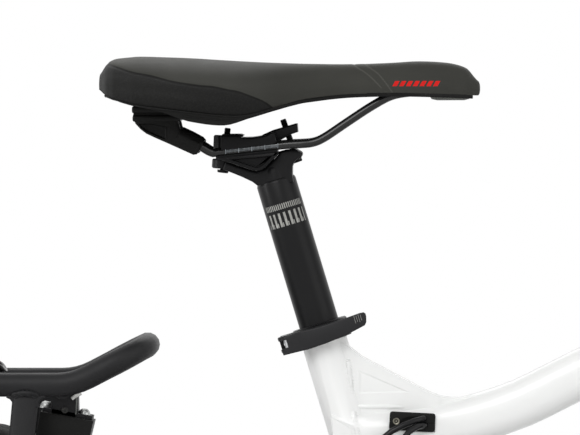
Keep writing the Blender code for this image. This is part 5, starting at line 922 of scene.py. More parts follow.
HEAD_OUTLINE = [(-31, -11.4), (-22.75, -14.4), (-11.9, -17.95), (-6.9, -19.2), (-0.3, -17.15), (4.5, -12.3),
                (10.6, -5.8), (11.4, -3.6), (15.6, -2.4), (21.6, -1.7), (24.6, -2), (28.6, -4.6),
                (27.8, -7.2), (22.8, -12), (21.5, -15.4), (21.4, -21.4), (22.3, -27.5), (15, -30.5),
                (-6, -30.5), (-9.9, -27.5), (-17.2, -24), (-25, -20.8), (-33.4, -17.6)]
CRADLE_OUTLINE = [(-37.6, -8.9), (-22.6, -13.6), (-11.6, -17.2), (-6.9, -18.5), (-3.4, -18.1), (0.4, -16.0),
                  (5.0, -11.3), (10.6, -5.4), (10.8, -4.0), (-37.2, -8.3)]
CLAMP_OUTLINE = [(-34.4, -2.8), (6.8, 1.8), (9.2, 4.0), (7.8, 11.6), (5.0, 11.8), (1.8, 9.4), (-9.8, 7.5),
                 (-17.8, 7.3), (-19.2, 9.1), (-34.4, 9.1)]
POST_INSERTED = 203
# The post's top end: radius, and distance below the rails' crossing point
POST_NECK = [(POST_RADIUS, 29.5), (15.1, 27.6), (13.7, 27), (13.4, 22), (12.7, 17), (11, 13.5), (7, 11.5),
             (0, 11)]
THREAD_PITCH = 0.8
ARM_OUTLINE = [(-3.2, 3.0), (10.2, 4.2), (20.6, 9.9), (25.7, 11.6), (25.2, 18.2), (23.6, 18.2), (5.8, 13.0),
               (-2.2, 9.4)]


class BIKE_OT_seatpost(bpy.types.Operator):
    """Model the seatpost with its two-bolt head, the rail cradle and the clamp over it"""
    bl_idname = "bike.seatpost"
    bl_label = "Seatpost"

    def execute(self, context):
        self.tube()
        self.cradle()
        self.clamp()
        self.bolt("rear_clamp_bolt", "clamp_bolt_rear", by_rails(-33.4, -18.4), by_rails(-29.6, 14.6),
                  4.4, 2.2)
        self.bolt("front_clamp_bolt", "clamp_bolt_front", by_rails(24.4, -9), by_rails(13.6, 21.4), 3.8, 3.4)
        return {"FINISHED"}

    def tube(self):
        """The post's tube with its bore, its neck and the head on it."""
        foot = SEAT_TOP - SEAT_UP * POST_INSERTED * MM
        length = POST_INSERTED + POST_EXPOSED
        profile = [(12.8, 0.0), (15.2, 0.0), (POST_RADIUS, 0.8)]
        profile += [(POST_RADIUS, length * t) for t in (0.2, 0.4, 0.6, 0.8)]
        profile += [(radius, length - drop) for radius, drop in POST_NECK]
        parts = [turned_piece("post_tube", profile, foot, SEAT_UP, 64),
                 turned_piece("post_bore", [(12.8, 0), (12.8, 150), (0, 150)], foot, SEAT_UP, 64),
                 plate_by_rails("post_head", HEAD_OUTLINE, 25, 1.9, segments=4)]
        barrel = [(0, -18.2), (7.2, -18.2), (8.2, -17.2), (8.2, -11.8), (7.4, -10.8), (0, -10.8)]
        upright = Vector((0.06, 0, 1)).normalized()
        parts.append(turned_piece("head_barrel", barrel, by_rails(-33.0, 0.9), upright, 40))
        flange_axes = (Vector((0.87, 0, -0.49)), Y_AXIS, Vector((0.49, 0, 0.87)))
        parts.append(box_piece("head_flange", by_rails(24.2, -5.2), (10, 23, 6.6), 2.2, flange_axes))
        post_finish()
        settle(joined("seatpost_tube", parts), "seatpost_tube", "saddle_post",
               "seatpost_anodised", "seatpost")

    def cradle(self):
        """The lower cradle, its two cheeks hollowed from outside."""
        parts = []
        for side in (-1, 1):
            cheek = plate_by_rails("cradle_cheek", CRADLE_OUTLINE, 12, 0.6, side * 19.5, 2)
            outer = side * 25.5 * MM
            bpy.ops.object.mode_set(mode="EDIT")
            pick(cheek, "FACE", lambda f: abs(f.normal.y) > 0.99
                 and abs(f.calc_center_median().y - outer) < 1e-5)
            bpy.ops.mesh.inset(thickness=1.9 * MM, depth=0)
            bpy.ops.mesh.inset(thickness=0.7 * MM, depth=-3.4 * MM)
            parts.append(close_up(cheek))
        bed = [(-38.6, -10.0), (-38.0, -6.6), (9.6, -1.4), (10.0, -5.6)]
        core = [(-30, -11.0), (-12, -16.9), (-6.9, -18.2), (-0.9, -16.2), (8.5, -6.5), (-34, -8.5)]
        parts.append(plate_by_rails("cradle_bed", bed, 46.5, 0.5, segments=2))
        parts.append(plate_by_rails("cradle_core", core, 30, 0.5, segments=2))
        settle(joined("cradle_casting", parts), "cradle_casting", "saddle_post",
               "satin_anodised", "rail_cradle")

    def clamp(self):
        """The upper clamp plate with the arm to the front bolt and the barrel of the rear one."""
        barrel = [(0, -2.4), (7.4, -2.4), (8.4, -1.4), (8.4, 7.9), (7.4, 8.9), (0, 8.9)]
        brow = [(-33.5, 7.6), (-18.0, 8.0), (-16.8, 9.0), (-19.0, 9.9), (-33.5, 9.9)]
        upright = Vector((0.04, 0, 1)).normalized()
        parts = [plate_by_rails("clamp_body", CLAMP_OUTLINE, 51, 1.5),
                 plate_by_rails("clamp_arm", ARM_OUTLINE, 23, 2.0),
                 turned_piece("clamp_barrel", barrel, by_rails(-32.6, 0), upright, 40),
                 plate_by_rails("clamp_brow", brow, 40, 0.6, segments=2)]
        settle(joined("clamp_casting", parts), "clamp_casting", "saddle_post",
               "satin_anodised", "rail_clamp")

    def bolt(self, name, node, start, stop, wide, tall):
        """A hexagon socket bolt with its thread, from under its head, wide and tall, to its tip."""
        length = (stop - start).length / MM
        profile = [(0, 1.6 - tall), (1.9, 1.6 - tall), (1.9, -tall), (wide - 0.6, -tall), (wide, 0.6 - tall),
                   (wide, 0), (2.4, 0)]
        thread = 0.0
        while thread < length - 1.2:
            profile += [(2.5, thread + 0.25), (2.28, thread + 0.65)]
            thread += THREAD_PITCH
        profile += [(2.3, length - 0.5), (1.9, length), (0, length)]
        bolt = turned_piece(name, profile, start, (stop - start).normalized(), 24)
        settle(bolt, name, "saddle_post", "black_bolt", node)


# Frame, collar, cable port and rack


def bead(name, route, width, pitch):
    """A weld bead: a thin tube along a route whose width ripples as the welder's did."""
    points = smooth_route(route, pitch * MM)
    radii = [1.0 if k % 2 else 0.66 for k in range(len(points))]
    radii[0] = radii[-1] = 0.35
    return tube_piece(name, points, width, 3, radii, 80)


LEVER_OUTLINE = [(289.2, 783.1), (293.6, 784.8), (305.6, 789.4), (318.8, 792.6), (336, 798), (342.3, 800),
                 (353.6, 804), (356.6, 804.6), (358.2, 803.6), (358.8, 801.4), (358.9, 797), (357.8, 794.4),
                 (342, 786), (326.8, 780), (313.4, 775.4), (303.2, 772.9), (293.8, 770.4), (292.2, 774.2),
                 (294, 778.2), (289.4, 780.8)]
LEVER_BEND = ((-31, 20.0), (-24, 22.6), (-14, 25.4), (-2, 26.9), (12, 26.9), (25, 25.2), (38, 22.6))
LEVER_ROOT = 6.0       # radius of the lever's rounded end
PIN_BACK = 28.0        # from the seat tube's axis back to the collar's pin
PIVOT_OUT = 16.0       # from the mid-plane out to the lever's pivot


def lever_depth(forward):
    """How far the curved lever stands out, at a distance forward of the seat tube's axis."""
    return numpy.interp(forward, *zip(*LEVER_BEND))


class BIKE_OT_collar(bpy.types.Operator):
    """Model the quick-release collar's ring, its curved lever, and the pin with its nut"""
    bl_idname = "bike.collar"
    bl_label = "Seat collar"

    def execute(self, context):
        ring = refined_copy("seat_collar", "collar_ring", 40, 0.5)
        settle(ring, "collar_ring", "frame_body", "satin_anodised", "seat_collar")
        centre = SEAT_TOP - SEAT_UP * 5.5 * MM
        pin_at = centre - SEAT_FORWARD * PIN_BACK * MM
        pivot = pin_at - Y_AXIS * PIVOT_OUT * MM
        seat_axes = (SEAT_FORWARD, Y_AXIS, SEAT_UP)

        slot = box_piece("lever_slot", centre - (SEAT_FORWARD * 34.3 + Y_AXIS * 20) * MM, (14, 14, 6.2), 0.05,
                         seat_axes, 1)
        parts = [cut_out(self.blade(centre), slot)]
        cam = [(2.1, -6.4), (5.4, -6.4), (LEVER_ROOT, -5.8), (LEVER_ROOT, -3.5), (2.1, -3.5)]
        parts.append(turned_piece("lever_cam", cam, pivot, SEAT_UP))
        parts.append(turned_piece("lever_cam", [(r, -h) for r, h in reversed(cam)], pivot, SEAT_UP))
        marks = []
        for k in range(4):
            forward = 28.6 + 1.7 * k
            outward = lever_depth(forward) + 2.25
            place = centre + (SEAT_FORWARD * forward - Y_AXIS * outward + SEAT_UP * 3) * MM
            marks.append(box_piece("lever_mark", place, (0.45, 0.4, 6.4 - (k % 2) * 1.6), 0.1, seat_axes, 1))
        settle(joined("lever_marks", marks), "lever_marks", "collar_lever", "worn_aluminium")
        settle(joined("collar_lever_blade", parts), "collar_lever_blade", "collar_lever",
               "lever_satin", "seat_collar_lever")

        skewer = [(0, -16), (2.5, -16), (2.5, 15), (2.0, 15.6), (0, 15.6)]
        nut = [(2.5, 9.7), (5.6, 9.7), (5.6, 10.9), (5.1, 11.3), (5.6, 11.7), (5.1, 12.3), (5.6, 12.9),
               (5.1, 13.5), (5.2, 15.2), (2.5, 15.4)]
        cross = [(0, -6.6), (1.6, -6.6), (2.0, -6.2), (2.0, 6.2), (1.6, 6.6), (0, 6.6)]
        pins = [turned_piece("collar_skewer", skewer, pin_at, Y_AXIS, 24),
                turned_piece("collar_nut", nut, pin_at, Y_AXIS, 28),
                turned_piece("collar_cross_pin", cross, pivot, SEAT_UP, 24)]
        settle(joined("collar_pin_set", pins), "collar_pin_set", "frame_body", "bright_steel",
               "seat_collar_pin")
        return {"FINISHED"}

    def blade(self, centre):
        """The lever's blade, bent round the seat tube, with its root rounded about the pivot."""
        lever = outline_piece("collar_lever_blade", LEVER_OUTLINE, at(0.5, 0, 0.8), 4.4, edge=1.2, segments=3)
        bpy.ops.object.mode_set(mode="EDIT")
        for k in range(7):
            bpy.ops.mesh.select_all(action="SELECT")
            bpy.ops.mesh.bisect(plane_co=at(297 + 8.5 * k, 0, 0), plane_no=X_AXIS)
        bm = bmesh.from_edit_mesh(lever.data)
        for vert in bm.verts:
            forward = (vert.co - centre).dot(SEAT_FORWARD) / MM
            vert.co.y -= lever_depth(forward) * MM
            behind = forward + PIN_BACK
            reach = math.hypot(behind, vert.co.y / MM + PIVOT_OUT)
            if behind < 0 and reach > LEVER_ROOT:
                excess = 1 - LEVER_ROOT / reach
                vert.co -= SEAT_FORWARD * behind * excess * MM
                vert.co.y -= (vert.co.y + PIVOT_OUT * MM) * excess
        bmesh.update_edit_mesh(lever.data)
        return close_up(lever, 40)


def in_gusset(part):
    """Whether an edge or a face belongs to the frame's gusset."""
    return all(inside(v.co, (338, 417.5), (-1, 13.6), (725.5, 783)) for v in part.verts)


def on_gusset_top(edge):
    """Whether an edge runs along one side of the gusset's sloping top."""
    if not (in_gusset(edge) and edge.is_manifold and edge.calc_face_angle() > 1.3):
        return False
    return all(abs(v.co.y) > 0.0134 and v.co.x > 0.344 and v.co.z > 0.7786 - (v.co.x - 0.3453) * 0.61
               for v in edge.verts)


SEAT_WELD = [(344.6, 11.6, 768.5), (345.4, 12.2, 761), (346.4, 12.5, 750), (347.2, 12.7, 740),
             (348, 13.4, 731), (349, 14.9, 726), (350.2, 16.4, 720), (351.8, 17.6, 714), (353.6, 18.1, 706),
             (354.4, 17.8, 698)]
FOOT_WELD = [(351, 11.6, 731.4), (358, 12.4, 731.2), (372, 12.5, 731.0), (384, 12.0, 730.6), (394, 10.6, 730)]
FILLET_OUTLINE = [(386, 752.3), (400.6, 745.6), (408.8, 742.2), (414.5, 740.1), (419.4, 738.7),
                  (426.1, 737.9), (433.9, 738.3), (444.2, 740), (452, 741), (452, 731), (420, 728),
                  (398, 742.6), (388, 748.6)]


class BIKE_OT_frame(bpy.types.Operator):
    """Smooth the painted frame and lay its weld beads at the seat tube and the gusset"""
    bl_idname = "bike.frame"
    bl_label = "Frame"

    def execute(self, context):
        shell = refined_copy("frame", "painted_frame")
        bpy.ops.object.mode_set(mode="EDIT")
        # Draws the top tube's root forward beside the seat tube, and makes the gusset's hollows smaller
        pick(shell, "VERT", lambda v: inside(v.co, (347.5, 349.5), (20.5, 99), (695, 718)))
        bpy.ops.transform.translate(value=at(8, 0, 0))
        for side in (-1, 1):
            pick(shell, "VERT", lambda v: side * v.co.y > 0
                 and inside(v.co, (332, 334.5), (20.5, 99), (690, 720)))
            bpy.ops.transform.translate(value=at(14.5, -side * 3.6, 0))
            pick(shell, "VERT", lambda v: side * v.co.y > 0
                 and inside(v.co, (352, 394.5), (10.2, 10.8), (740, 761)))
            bpy.ops.transform.translate(value=at(0, side * 2.3, 0))
            bpy.ops.transform.resize(value=(0.84, 1, 0.80), center_override=at(365.5, 0, 747.5))
        pick(shell, "FACE", in_gusset)
        bpy.ops.mesh.dissolve_limited(angle_limit=math.radians(0.6))
        pick(shell, "EDGE", on_gusset_top)
        bpy.ops.mesh.bevel(offset=2.2 * MM, segments=4, affect="EDGES", clamp_overlap=True)
        bpy.ops.object.mode_set(mode="OBJECT")
        shade(40)
        settle(shell, "painted_frame", "frame_body", "gloss_white_paint", "frame")

        parts = []
        for side in (-1, 1):
            seat, foot = ([at(x, side * y, z) for x, y, z in places] for places in (SEAT_WELD, FOOT_WELD))
            parts.append(bead("seat_weld", seat, 6.2, 1.3))
            parts.append(tube_piece("gusset_foot_weld", smooth_route(foot, 3 * MM), 4.6))
        lip = [SEAT_TOP + ((SEAT_FORWARD * math.cos(a) + Y_AXIS * math.sin(a)) * 18.0 - SEAT_UP * 13.6) * MM
               for a in round_angles(32) + [2 * math.pi]]
        parts.append(tube_piece("seat_tube_lip", lip, 0.8, 3))
        parts.append(outline_piece("gusset_fillet", FILLET_OUTLINE, at(0, 0, 0), 25, edge=3.4, segments=4))
        settle(joined("frame_welds", parts), "frame_welds", "frame_body", "gloss_white_paint")
        return {"FINISHED"}


class BIKE_OT_cable_port(bpy.types.Operator):
    """Model the cable port: its rounded cover with a dark scoop, a screw and a split at the front"""
    bl_idname = "bike.cable_port"
    bl_label = "Cable port"

    def execute(self, context):
        low, high = (Vector(corner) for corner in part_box("cable_port_cover"))
        middle = (low + high) / 2 + at(0.3, 0, 0)
        thickness = (high.y - low.y) / MM
        half, tall, corner = 17.9, 7.35, 2.0
        cos, sin = math.cos(math.radians(2.9)), math.sin(math.radians(2.9))

        def tilted(points):
            return [(a * cos + b * sin, b * cos - a * sin) for a, b in points]

        outline = []
        for first, sx, sz in ((0, 1, 1), (90, -1, 1), (180, -1, -1), (270, 1, -1)):
            for turn in range(first, first + 91, 30):
                outline.append((sx * (half - corner) + corner * math.cos(math.radians(turn)),
                                sz * (tall - corner) + corner * math.sin(math.radians(turn))))
        scoop = [(-9.4, -0.4), (-7.2, 2.4), (-3.0, 3.9), (9.4, 4.6), (10.8, 3.4), (10.8, -3.4), (10.0, -5.0),
                 (3.8, -6.6), (1.2, -9.0), (-13.0, -9.0)]
        split = [(10.4, -0.75), (10.4, -0.2), (19.0, -0.2), (19.0, -0.75)]
        cover = outline_piece("port_cover", tilted(outline), middle, thickness, edge=0.7, segments=3)
        cover = cut_out(cover, outline_piece("port_scoop", tilted(scoop), middle - at(0, 0.8, 0), thickness))
        front = Vector((middle.x, low.y, middle.z))
        cover = cut_out(cover, outline_piece("port_split", tilted(split), front, 1.6))
        settle(cover, "port_cover", "frame_body", "moulded_black", "cable_port_cover")
        head = [(0, 0.5), (0.7, 0.5), (0.8, -0.1), (1.3, -0.1), (1.6, 0.6), (2.3, 0.75), (2.6, 0.45),
                (2.7, -0.4), (0, -0.4)]
        screw = turned_piece("port_screw", head, middle + at(-12.5, -1.75, 0.5), -Y_AXIS, 28)
        settle(screw, "port_screw", "frame_body", "aged_screw")
        return {"FINISHED"}


CLIP_HINGE = at(-235, 0, 762.4)
CLIP_ROUTE = [(-235, 33, 762.4), (-120, 33, 763.0), (28, 30, 763.4), (51, 27, 764.8), (62.6, 23, 765.0),
              (69.6, 18, 762.4), (73, 11, 759.0), (73.8, 4, 757.6)]
HANGER_OUTLINE = [(103.5, 741.5), (131.2, 741.5), (131.6, 722.5), (130.4, 720.9), (114.8, 723.9),
                  (111.9, 725.6), (111.6, 734.6), (107.5, 735.4), (104.4, 737)]


class BIKE_OT_rack(bpy.types.Operator):
    """Smooth the rack and add its weld beads, dome bolts, rivet and the small white clip"""
    bl_idname = "bike.rack"
    bl_label = "Rack"

    def execute(self, context):
        rails = refined_copy("rear_rack", "rack_tubes")
        bpy.ops.object.mode_set(mode="EDIT")
        # Draws back the lower and the upper front corners of the bracket
        for low, high, shift in ((720.5, 733, -1.4), (733, 752, -5.6)):
            pick(rails, "VERT", lambda v: inside(v.co, (112, 140.5), (14.5, 15.5), (low, high)))
            bpy.ops.transform.translate(value=at(shift, 0, 0))
        bpy.ops.object.mode_set(mode="OBJECT")
        shade(40)
        settle(rails, "rack_tubes", "frame_body", "rack_powder_coat", "rear_rack")
        parts = []
        for side in (-1, 1):
            parts += self.welds(side)
        settle(joined("rack_welds", parts), "rack_welds", "frame_body",
               "rack_powder_coat")
        self.bracket_parts()
        self.luggage_clip()
        self.mudguard_clip()
        return {"FINISHED"}

    def welds(self, side):
        """The beads round a stay's top and the three cross tubes, and the stay's gusset corners."""
        parts = []
        for turn_in, wide in ((0.0, 4.6), (1.5, 3.4)):
            ring = [at(93.6 + (11.4 - turn_in) * math.cos(a),
                       side * (54.4 + (8.4 - turn_in * 0.4) * math.sin(a)),
                       739.9 + (3.6 + turn_in) * max(0.0, math.sin(a)) - 2.0 * turn_in)
                    for a in round_angles(24) + [2 * math.pi]]
            parts.append(bead("stay_weld", ring, wide, 1.9))
        for sign, edge_x in ((-1, 84.6), (1, 103.4)):
            corner = [(edge_x + sign * a, z) for a, z in ((-6, 741.5), (6.4, 741.5), (5.6, 739.4), (3, 738.2),
                                                          (1.2, 736), (0.4, 731.5), (-6, 731.5))]
            parts.append(outline_piece("stay_corner", corner, at(0, side * 54.6, 0), 9, edge=1.2))
        for x, z in ((-235, 748.4), (-88, 748.4), (60, 753.6)):
            ring = [at(x + 6.0 * math.cos(a), side * 46.0, z + 6.0 * math.sin(a))
                    for a in round_angles(20) + [2 * math.pi]]
            parts.append(bead("cross_weld", ring, 2.6, 1.6))
        return parts

    def bracket_parts(self):
        """The dome bolts, the rivet and the hanging plate at the rack's front bracket."""
        slope = math.radians(-10.5)
        normal = Vector((-math.sin(slope), 0, math.cos(slope)))
        dome = [(0, -1.0), (5.0, -1.0), (5.0, 0.2), (4.7, 1.9), (3.9, 3.4), (2.6, 4.5), (1.3, 5.0), (0, 5.2)]
        bolts = [turned_piece("rack_bolt", dome, at(x, 0, z), normal, 40, 60)
                 for x, z in ((107.4, 729.8), (137.1, 723.7))]
        settle(joined("rack_bolts", bolts), "rack_bolts", "frame_body", "zinc_plate")
        head = [(0, 0.3), (1.0, 0.3), (1.2, 1.1), (2.2, 1.2), (2.6, 0.8), (2.8, -0.5), (0, -0.5)]
        rivet = turned_piece("rack_rivet", head, at(122.6, -16.1, 728.0), -Y_AXIS, 28)
        settle(rivet, "rack_rivet", "frame_body", "worn_black")
        plate = outline_piece("rack_hanger", HANGER_OUTLINE, at(0, -14.8, 0), 2.4, edge=0.5)
        settle(plate, "rack_hanger", "frame_body", "rack_powder_coat")

    def luggage_clip(self):
        """The sprung wire loop with its hinge."""
        left = [at(*place) for place in CLIP_ROUTE]
        wire = tube_piece("clip_wire", smooth_route(left + mirrored(left), 3 * MM), 6)
        hinge = [(0, -37), (3.1, -37), (3.5, -36.5), (3.5, 36.5), (3.1, 37), (0, 37)]
        hinge = turned_piece("clip_hinge", hinge, CLIP_HINGE, Y_AXIS, 24)
        settle(joined("clip_wire", [wire, hinge]), "clip_wire", "rack_clip", "gloss_enamel",
               "spring_clip")

    def mudguard_clip(self):
        """The small white clip that holds the mudguard's strip to the bracket, and the strip."""
        tongue = [at(128.4, -17.4, 737), at(130.2, -17.8, 738.6), at(132.8, -17.8, 740),
                  at(135.6, -17.4, 741.4)]
        strip = [at(131.5, -16, 739.6), at(131.8, -15.8, 734), at(131.6, -15.8, 729), at(131.2, -15.8, 724.6)]
        tongue = tube_piece("mudguard_clip", smooth_route(tongue, 1.0 * MM), 2.8, 3)
        strip = tube_piece("clip_strip", smooth_route(strip, 1.6 * MM), 1.1, 2)
        settle(tongue, "mudguard_clip", "frame_body", "white_nylon")
        settle(strip, "clip_strip", "frame_body", "smoky_plastic")


# Wheels


CASING = [(317.5, -11), (321, -14.6), (327, -18.4), (334, -21.6), (339.5, -22.6), (340.6, -23),
          (341.8, -22.5), (346, -20.6), (350, -16.6), (352.3, -11.5), (353.2, -6), (353.4, 0)]
RIM_PROFILE = [(317, -13.5), (313, -13.4), (306, -12), (301, -8), (298.4, -3), (298.4, 3), (301, 8),
               (306, 12), (313, 13.4), (317, 13.5), (317, 11.8), (312.5, 10.8), (310, 0), (312.5, -10.8),
               (317, -11.8), (317, -13.5)]
SPOKES = 24
DISC_HOLES = 30        # in each of a brake disc's two rings
# Rows of tread blocks: place across the tyre, block size, stagger round it and lean
TREAD_ROWS = ((0, (9.4, 8.4), 0, 0), (9.2, (12.0, 5.2), 0.5, 0), (-9.2, (12.0, 5.2), 0.5, 0),
              (15.6, (8.0, 4.6), 0, 0.5), (-15.6, (8.0, 4.6), 0, -0.5))


def radial(angle):
    """The direction in a wheel's plane at an angle from straight ahead."""
    return Vector((math.cos(angle), 0, math.sin(angle)))


class BIKE_OT_wheels(bpy.types.Operator):
    """Model both wheels' tyres with their tread, the rims with nipples and valve, and the drilled discs"""
    bl_idname = "bike.wheels"
    bl_label = "Wheels"

    def execute(self, context):
        for end, x, disc_y in (("rear", 0, 44), ("front", WHEELBASE, 38)):
            centre = at(x, 0, WHEEL_RADIUS)
            self.tyre(end, centre, context.scene.bike_sizes)
            self.rim(end, centre)
            self.disc(end, centre + at(0, disc_y, 0))
        return {"FINISHED"}

    def tyre(self, end, centre, sizes):
        """The casing, with its rows of tread blocks."""
        half = smooth_route([Vector((r, h, 0)) for r, h in CASING], 2.6)
        profile = [(p.x, p.y) for p in half] + [(p.x, -p.y) for p in reversed(half[:-1])]
        parts = [turned_piece("casing", profile + [profile[0]], centre, Y_AXIS, 120, 40)]
        height = sizes.tread / MM
        for across, size, stagger, lean in TREAD_ROWS:
            radius = WHEEL_RADIUS - (0 if abs(across) < 12 else 4.2)
            tilt = Matrix.Rotation(lean, 3, "X")
            place = centre + at(0, across, height + 0.4 - radius)
            knob = box_piece("knob", place, (*size, 2 * height + 0.8), 0.3,
                             (X_AXIS, tilt @ Y_AXIS, tilt @ Z_AXIS), 1)
            turn_about(knob, centre, "Y", stagger * 2 * math.pi / sizes.knobs)
            parts += turned_copies(knob, centre, "Y", round_angles(sizes.knobs)[1:])
        settle(joined(f"{end}_tyre_tread", parts), f"{end}_tyre_tread", f"{end}_wheel", "tyre_rubber",
               f"{end}_tyre")

    def rim(self, end, centre):
        """The rim with a nipple for each spoke, and the valve."""
        parts = [turned_piece("rim", RIM_PROFILE, centre, Y_AXIS, 120, 40)]
        nipple = [(1.3, -9.5), (2.0, -9.3), (2.2, -3.0), (2.9, -1.8), (2.9, 2.0)]
        for side, angle in ((-1, 1.5), (1, 0.5)):
            out = radial(angle * 2 * math.pi / SPOKES)
            first = turned_piece("nipple", nipple, centre + (out * 299 + Y_AXIS * side * 3) * MM, out, 10)
            parts += turned_copies(first, centre, "Y", round_angles(SPOKES // 2)[1:])
        settle(joined(f"{end}_rim_section", parts), f"{end}_rim_section", f"{end}_wheel",
               "satin_anodised", f"{end}_rim")
        stem = [(0, -34), (2.8, -34), (3.3, -33.2), (3.3, -27), (2.6, -26.4), (2.6, -6), (4.4, -5.6),
                (4.4, -2.5), (3.0, -1.5), (0, -1.5)]
        out = radial(0.01)
        settle(turned_piece("valve", stem, centre + out * 301 * MM, out, 20), f"{end}_valve", f"{end}_wheel",
               "bright_steel")

    def disc(self, end, centre):
        """The brake disc with two rings of drilled holes and five bolts."""
        disc = refined_copy(f"{end}_brake_disc", f"{end}_disc_rotor", 30)
        drills = []
        for radius, stagger, width in ((79.3, 0.0, 5.4), (85.6, 0.5, 4.6)):
            place = centre + radial(stagger * 2 * math.pi / DISC_HOLES) * radius * MM
            select_nothing()
            bpy.ops.mesh.primitive_cylinder_add(vertices=14, radius=width / 2 * MM, depth=8 * MM,
                                                location=place, rotation=(math.pi / 2, 0, 0))
            bpy.ops.object.transform_apply(location=True, rotation=True, scale=True)
            drills += turned_copies(bare("drill"), centre, "Y", round_angles(DISC_HOLES)[1:])
        disc = cut_out(disc, joined("drills", drills))
        head = [(0, 0.9), (1.6, 0.9), (1.9, 2.4), (3.6, 2.2), (4.2, 1.4), (4.2, 0.0), (0, 0.0)]
        bolt = turned_piece("disc_bolt", head, centre + at(18, 0.8, 0), Y_AXIS, 18)
        disc = joined(f"{end}_disc_rotor", [disc] + turned_copies(bolt, centre, "Y", round_angles(5)[1:]))
        settle(disc, f"{end}_disc_rotor", f"{end}_wheel", "bright_steel", f"{end}_brake_disc")


# Chain

LINK = 12.7 * MM
LINKS = 102
RING_RADIUS = 36 * LINK / (2 * math.pi)
SPROCKET_RADIUS = 18 * LINK / (2 * math.pi)
REAR_CENTRE = at(0, 0, WHEEL_RADIUS)


def chain_place(s):
    """The chain line's point s metres on from the chainring's upper tangent point."""
    forward = (CRANK_CENTRE - REAR_CENTRE).normalized()
    up = Vector((-forward.z, 0, forward.x))
    apart = (CRANK_CENTRE - REAR_CENTRE).length
    lean = math.asin((RING_RADIUS - SPROCKET_RADIUS) / apart)
    run = apart * math.cos(lean)
    front, rear = RING_RADIUS * (math.pi + 2 * lean), SPROCKET_RADIUS * (math.pi - 2 * lean)
    corner = math.pi / 2 + lean

    def on_ring(angle):
        return CRANK_CENTRE + (forward * math.cos(angle) + up * math.sin(angle)) * RING_RADIUS

    def on_sprocket(angle):
        return REAR_CENTRE + (forward * math.cos(angle) + up * math.sin(angle)) * SPROCKET_RADIUS

    s %= front + rear + 2 * run
    if s < front:
        return on_ring(corner - s / RING_RADIUS)
    s -= front
    if s < run:
        return on_ring(-corner).lerp(on_sprocket(-corner), s / run)
    s -= run
    if s < rear:
        return on_sprocket(-corner - s / SPROCKET_RADIUS)
    return on_sprocket(corner).lerp(on_ring(corner), (s - rear) / run)


LINK_OUTLINE = [(-4, 0), (-2.9, 2.9), (0, 4.1), (2.6, 3.5), (6.35, 2.9), (10.1, 3.5), (12.7, 4.1),
                (15.6, 2.9), (16.7, 0), (15.6, -2.9), (12.7, -4.1), (10.1, -3.5), (6.35, -2.9), (2.6, -3.5),
                (0, -4.1), (-2.9, -2.9)]


class BIKE_OT_chain(bpy.types.Operator):
    """Model one inner and one outer link, and lay all 102 along the chain line so they mesh with the teeth"""
    bl_idname = "bike.chain"
    bl_label = "Chain"

    def execute(self, context):
        links = []
        for kind, offset, radius, reach in (("inner", 2.05, 2.7, 1.7), ("outer", 2.75, 1.7, 3.15)):
            parts = [outline_piece("plate", LINK_OUTLINE, at(0, side * offset, 0), 0.66) for side in (-1, 1)]
            pin = [(0, -reach), (radius, -reach), (radius, reach), (0, reach)]
            parts += [turned_piece("pin", pin, X_AXIS * x, Y_AXIS, 10) for x in (0, LINK)]
            links.append(joined(f"{kind}_link", parts))
        group = []
        for k in range(LINKS):
            start = chain_place(k * LINK)
            along = (chain_place((k + 1) * LINK) - start).normalized()
            turn = Matrix((along, Y_AXIS, along.cross(Y_AXIS))).transposed().to_4x4()
            twin = bpy.data.objects.new("link", links[k % 2].data.copy())
            twin.data.transform(Matrix.Translation(start - at(0, 52, 0)) @ turn)
            context.scene.collection.objects.link(twin)
            group.append(twin)
        for link in links:
            bpy.data.objects.remove(link)
        settle(joined("roller_chain", group), "roller_chain", "frame_body", "bright_steel", "chain")
        return {"FINISHED"}


# Handlebar and controls

BAR_CENTRE = HEAD_TOP + (HEAD_UP * 74 + HEAD_FORWARD * 85) * MM
HEX_SCREW = [(0, 1.6), (1.6, 1.6), (1.9, 4.6), (3.7, 4.4), (4.1, 3.4), (4.1, -2.0), (0, -2.0)]
TOP_CAP = [(0, 1.0), (3.0, 1.0), (3.4, 2.6), (13.0, 2.2), (15.4, 1.0), (15.6, -1.0), (0, -1.0)]
BAR_CAP = [(0, 174.6), (9, 174.6), (12.4, 173.6), (12.6, 172), (0, 171.5)]
SLEEVE = [(11.4, 0), (15.4, 0), (16, 0.6), (18.2, 3), (18.2, 17), (17, 19.4), (16.2, 20), (11.4, 20),
          (11.4, 0)]


def bar_line(side):
    """The start and the direction of the handlebar's straight end on a side."""
    start = BAR_CENTRE + at(-16, side * 165, 32)
    return start, (BAR_CENTRE + at(-75, side * 330, 30) - start).normalized()


def grip_profile():
    """A grip's outline along the bar: its collar, 27 ribs on a waisted body, and its rounded end."""
    profile = [(11.4, 0), (17.4, 0), (18, 0.7), (18, 3.3), (17.2, 4.2), (15.8, 6)]
    for middle in range(9, 117, 4):
        base = numpy.interp(middle, (6, 64, 120), (15.3, 14.5, 16.3))
        profile += [(base, middle - 1.2), (base + 0.7, middle - 0.6), (base + 0.7, middle + 0.6),
                    (base, middle + 1.2)]
    return profile + [(17, 119), (17, 122), (15.6, 126), (13, 128), (11.4, 128), (11.4, 0)]


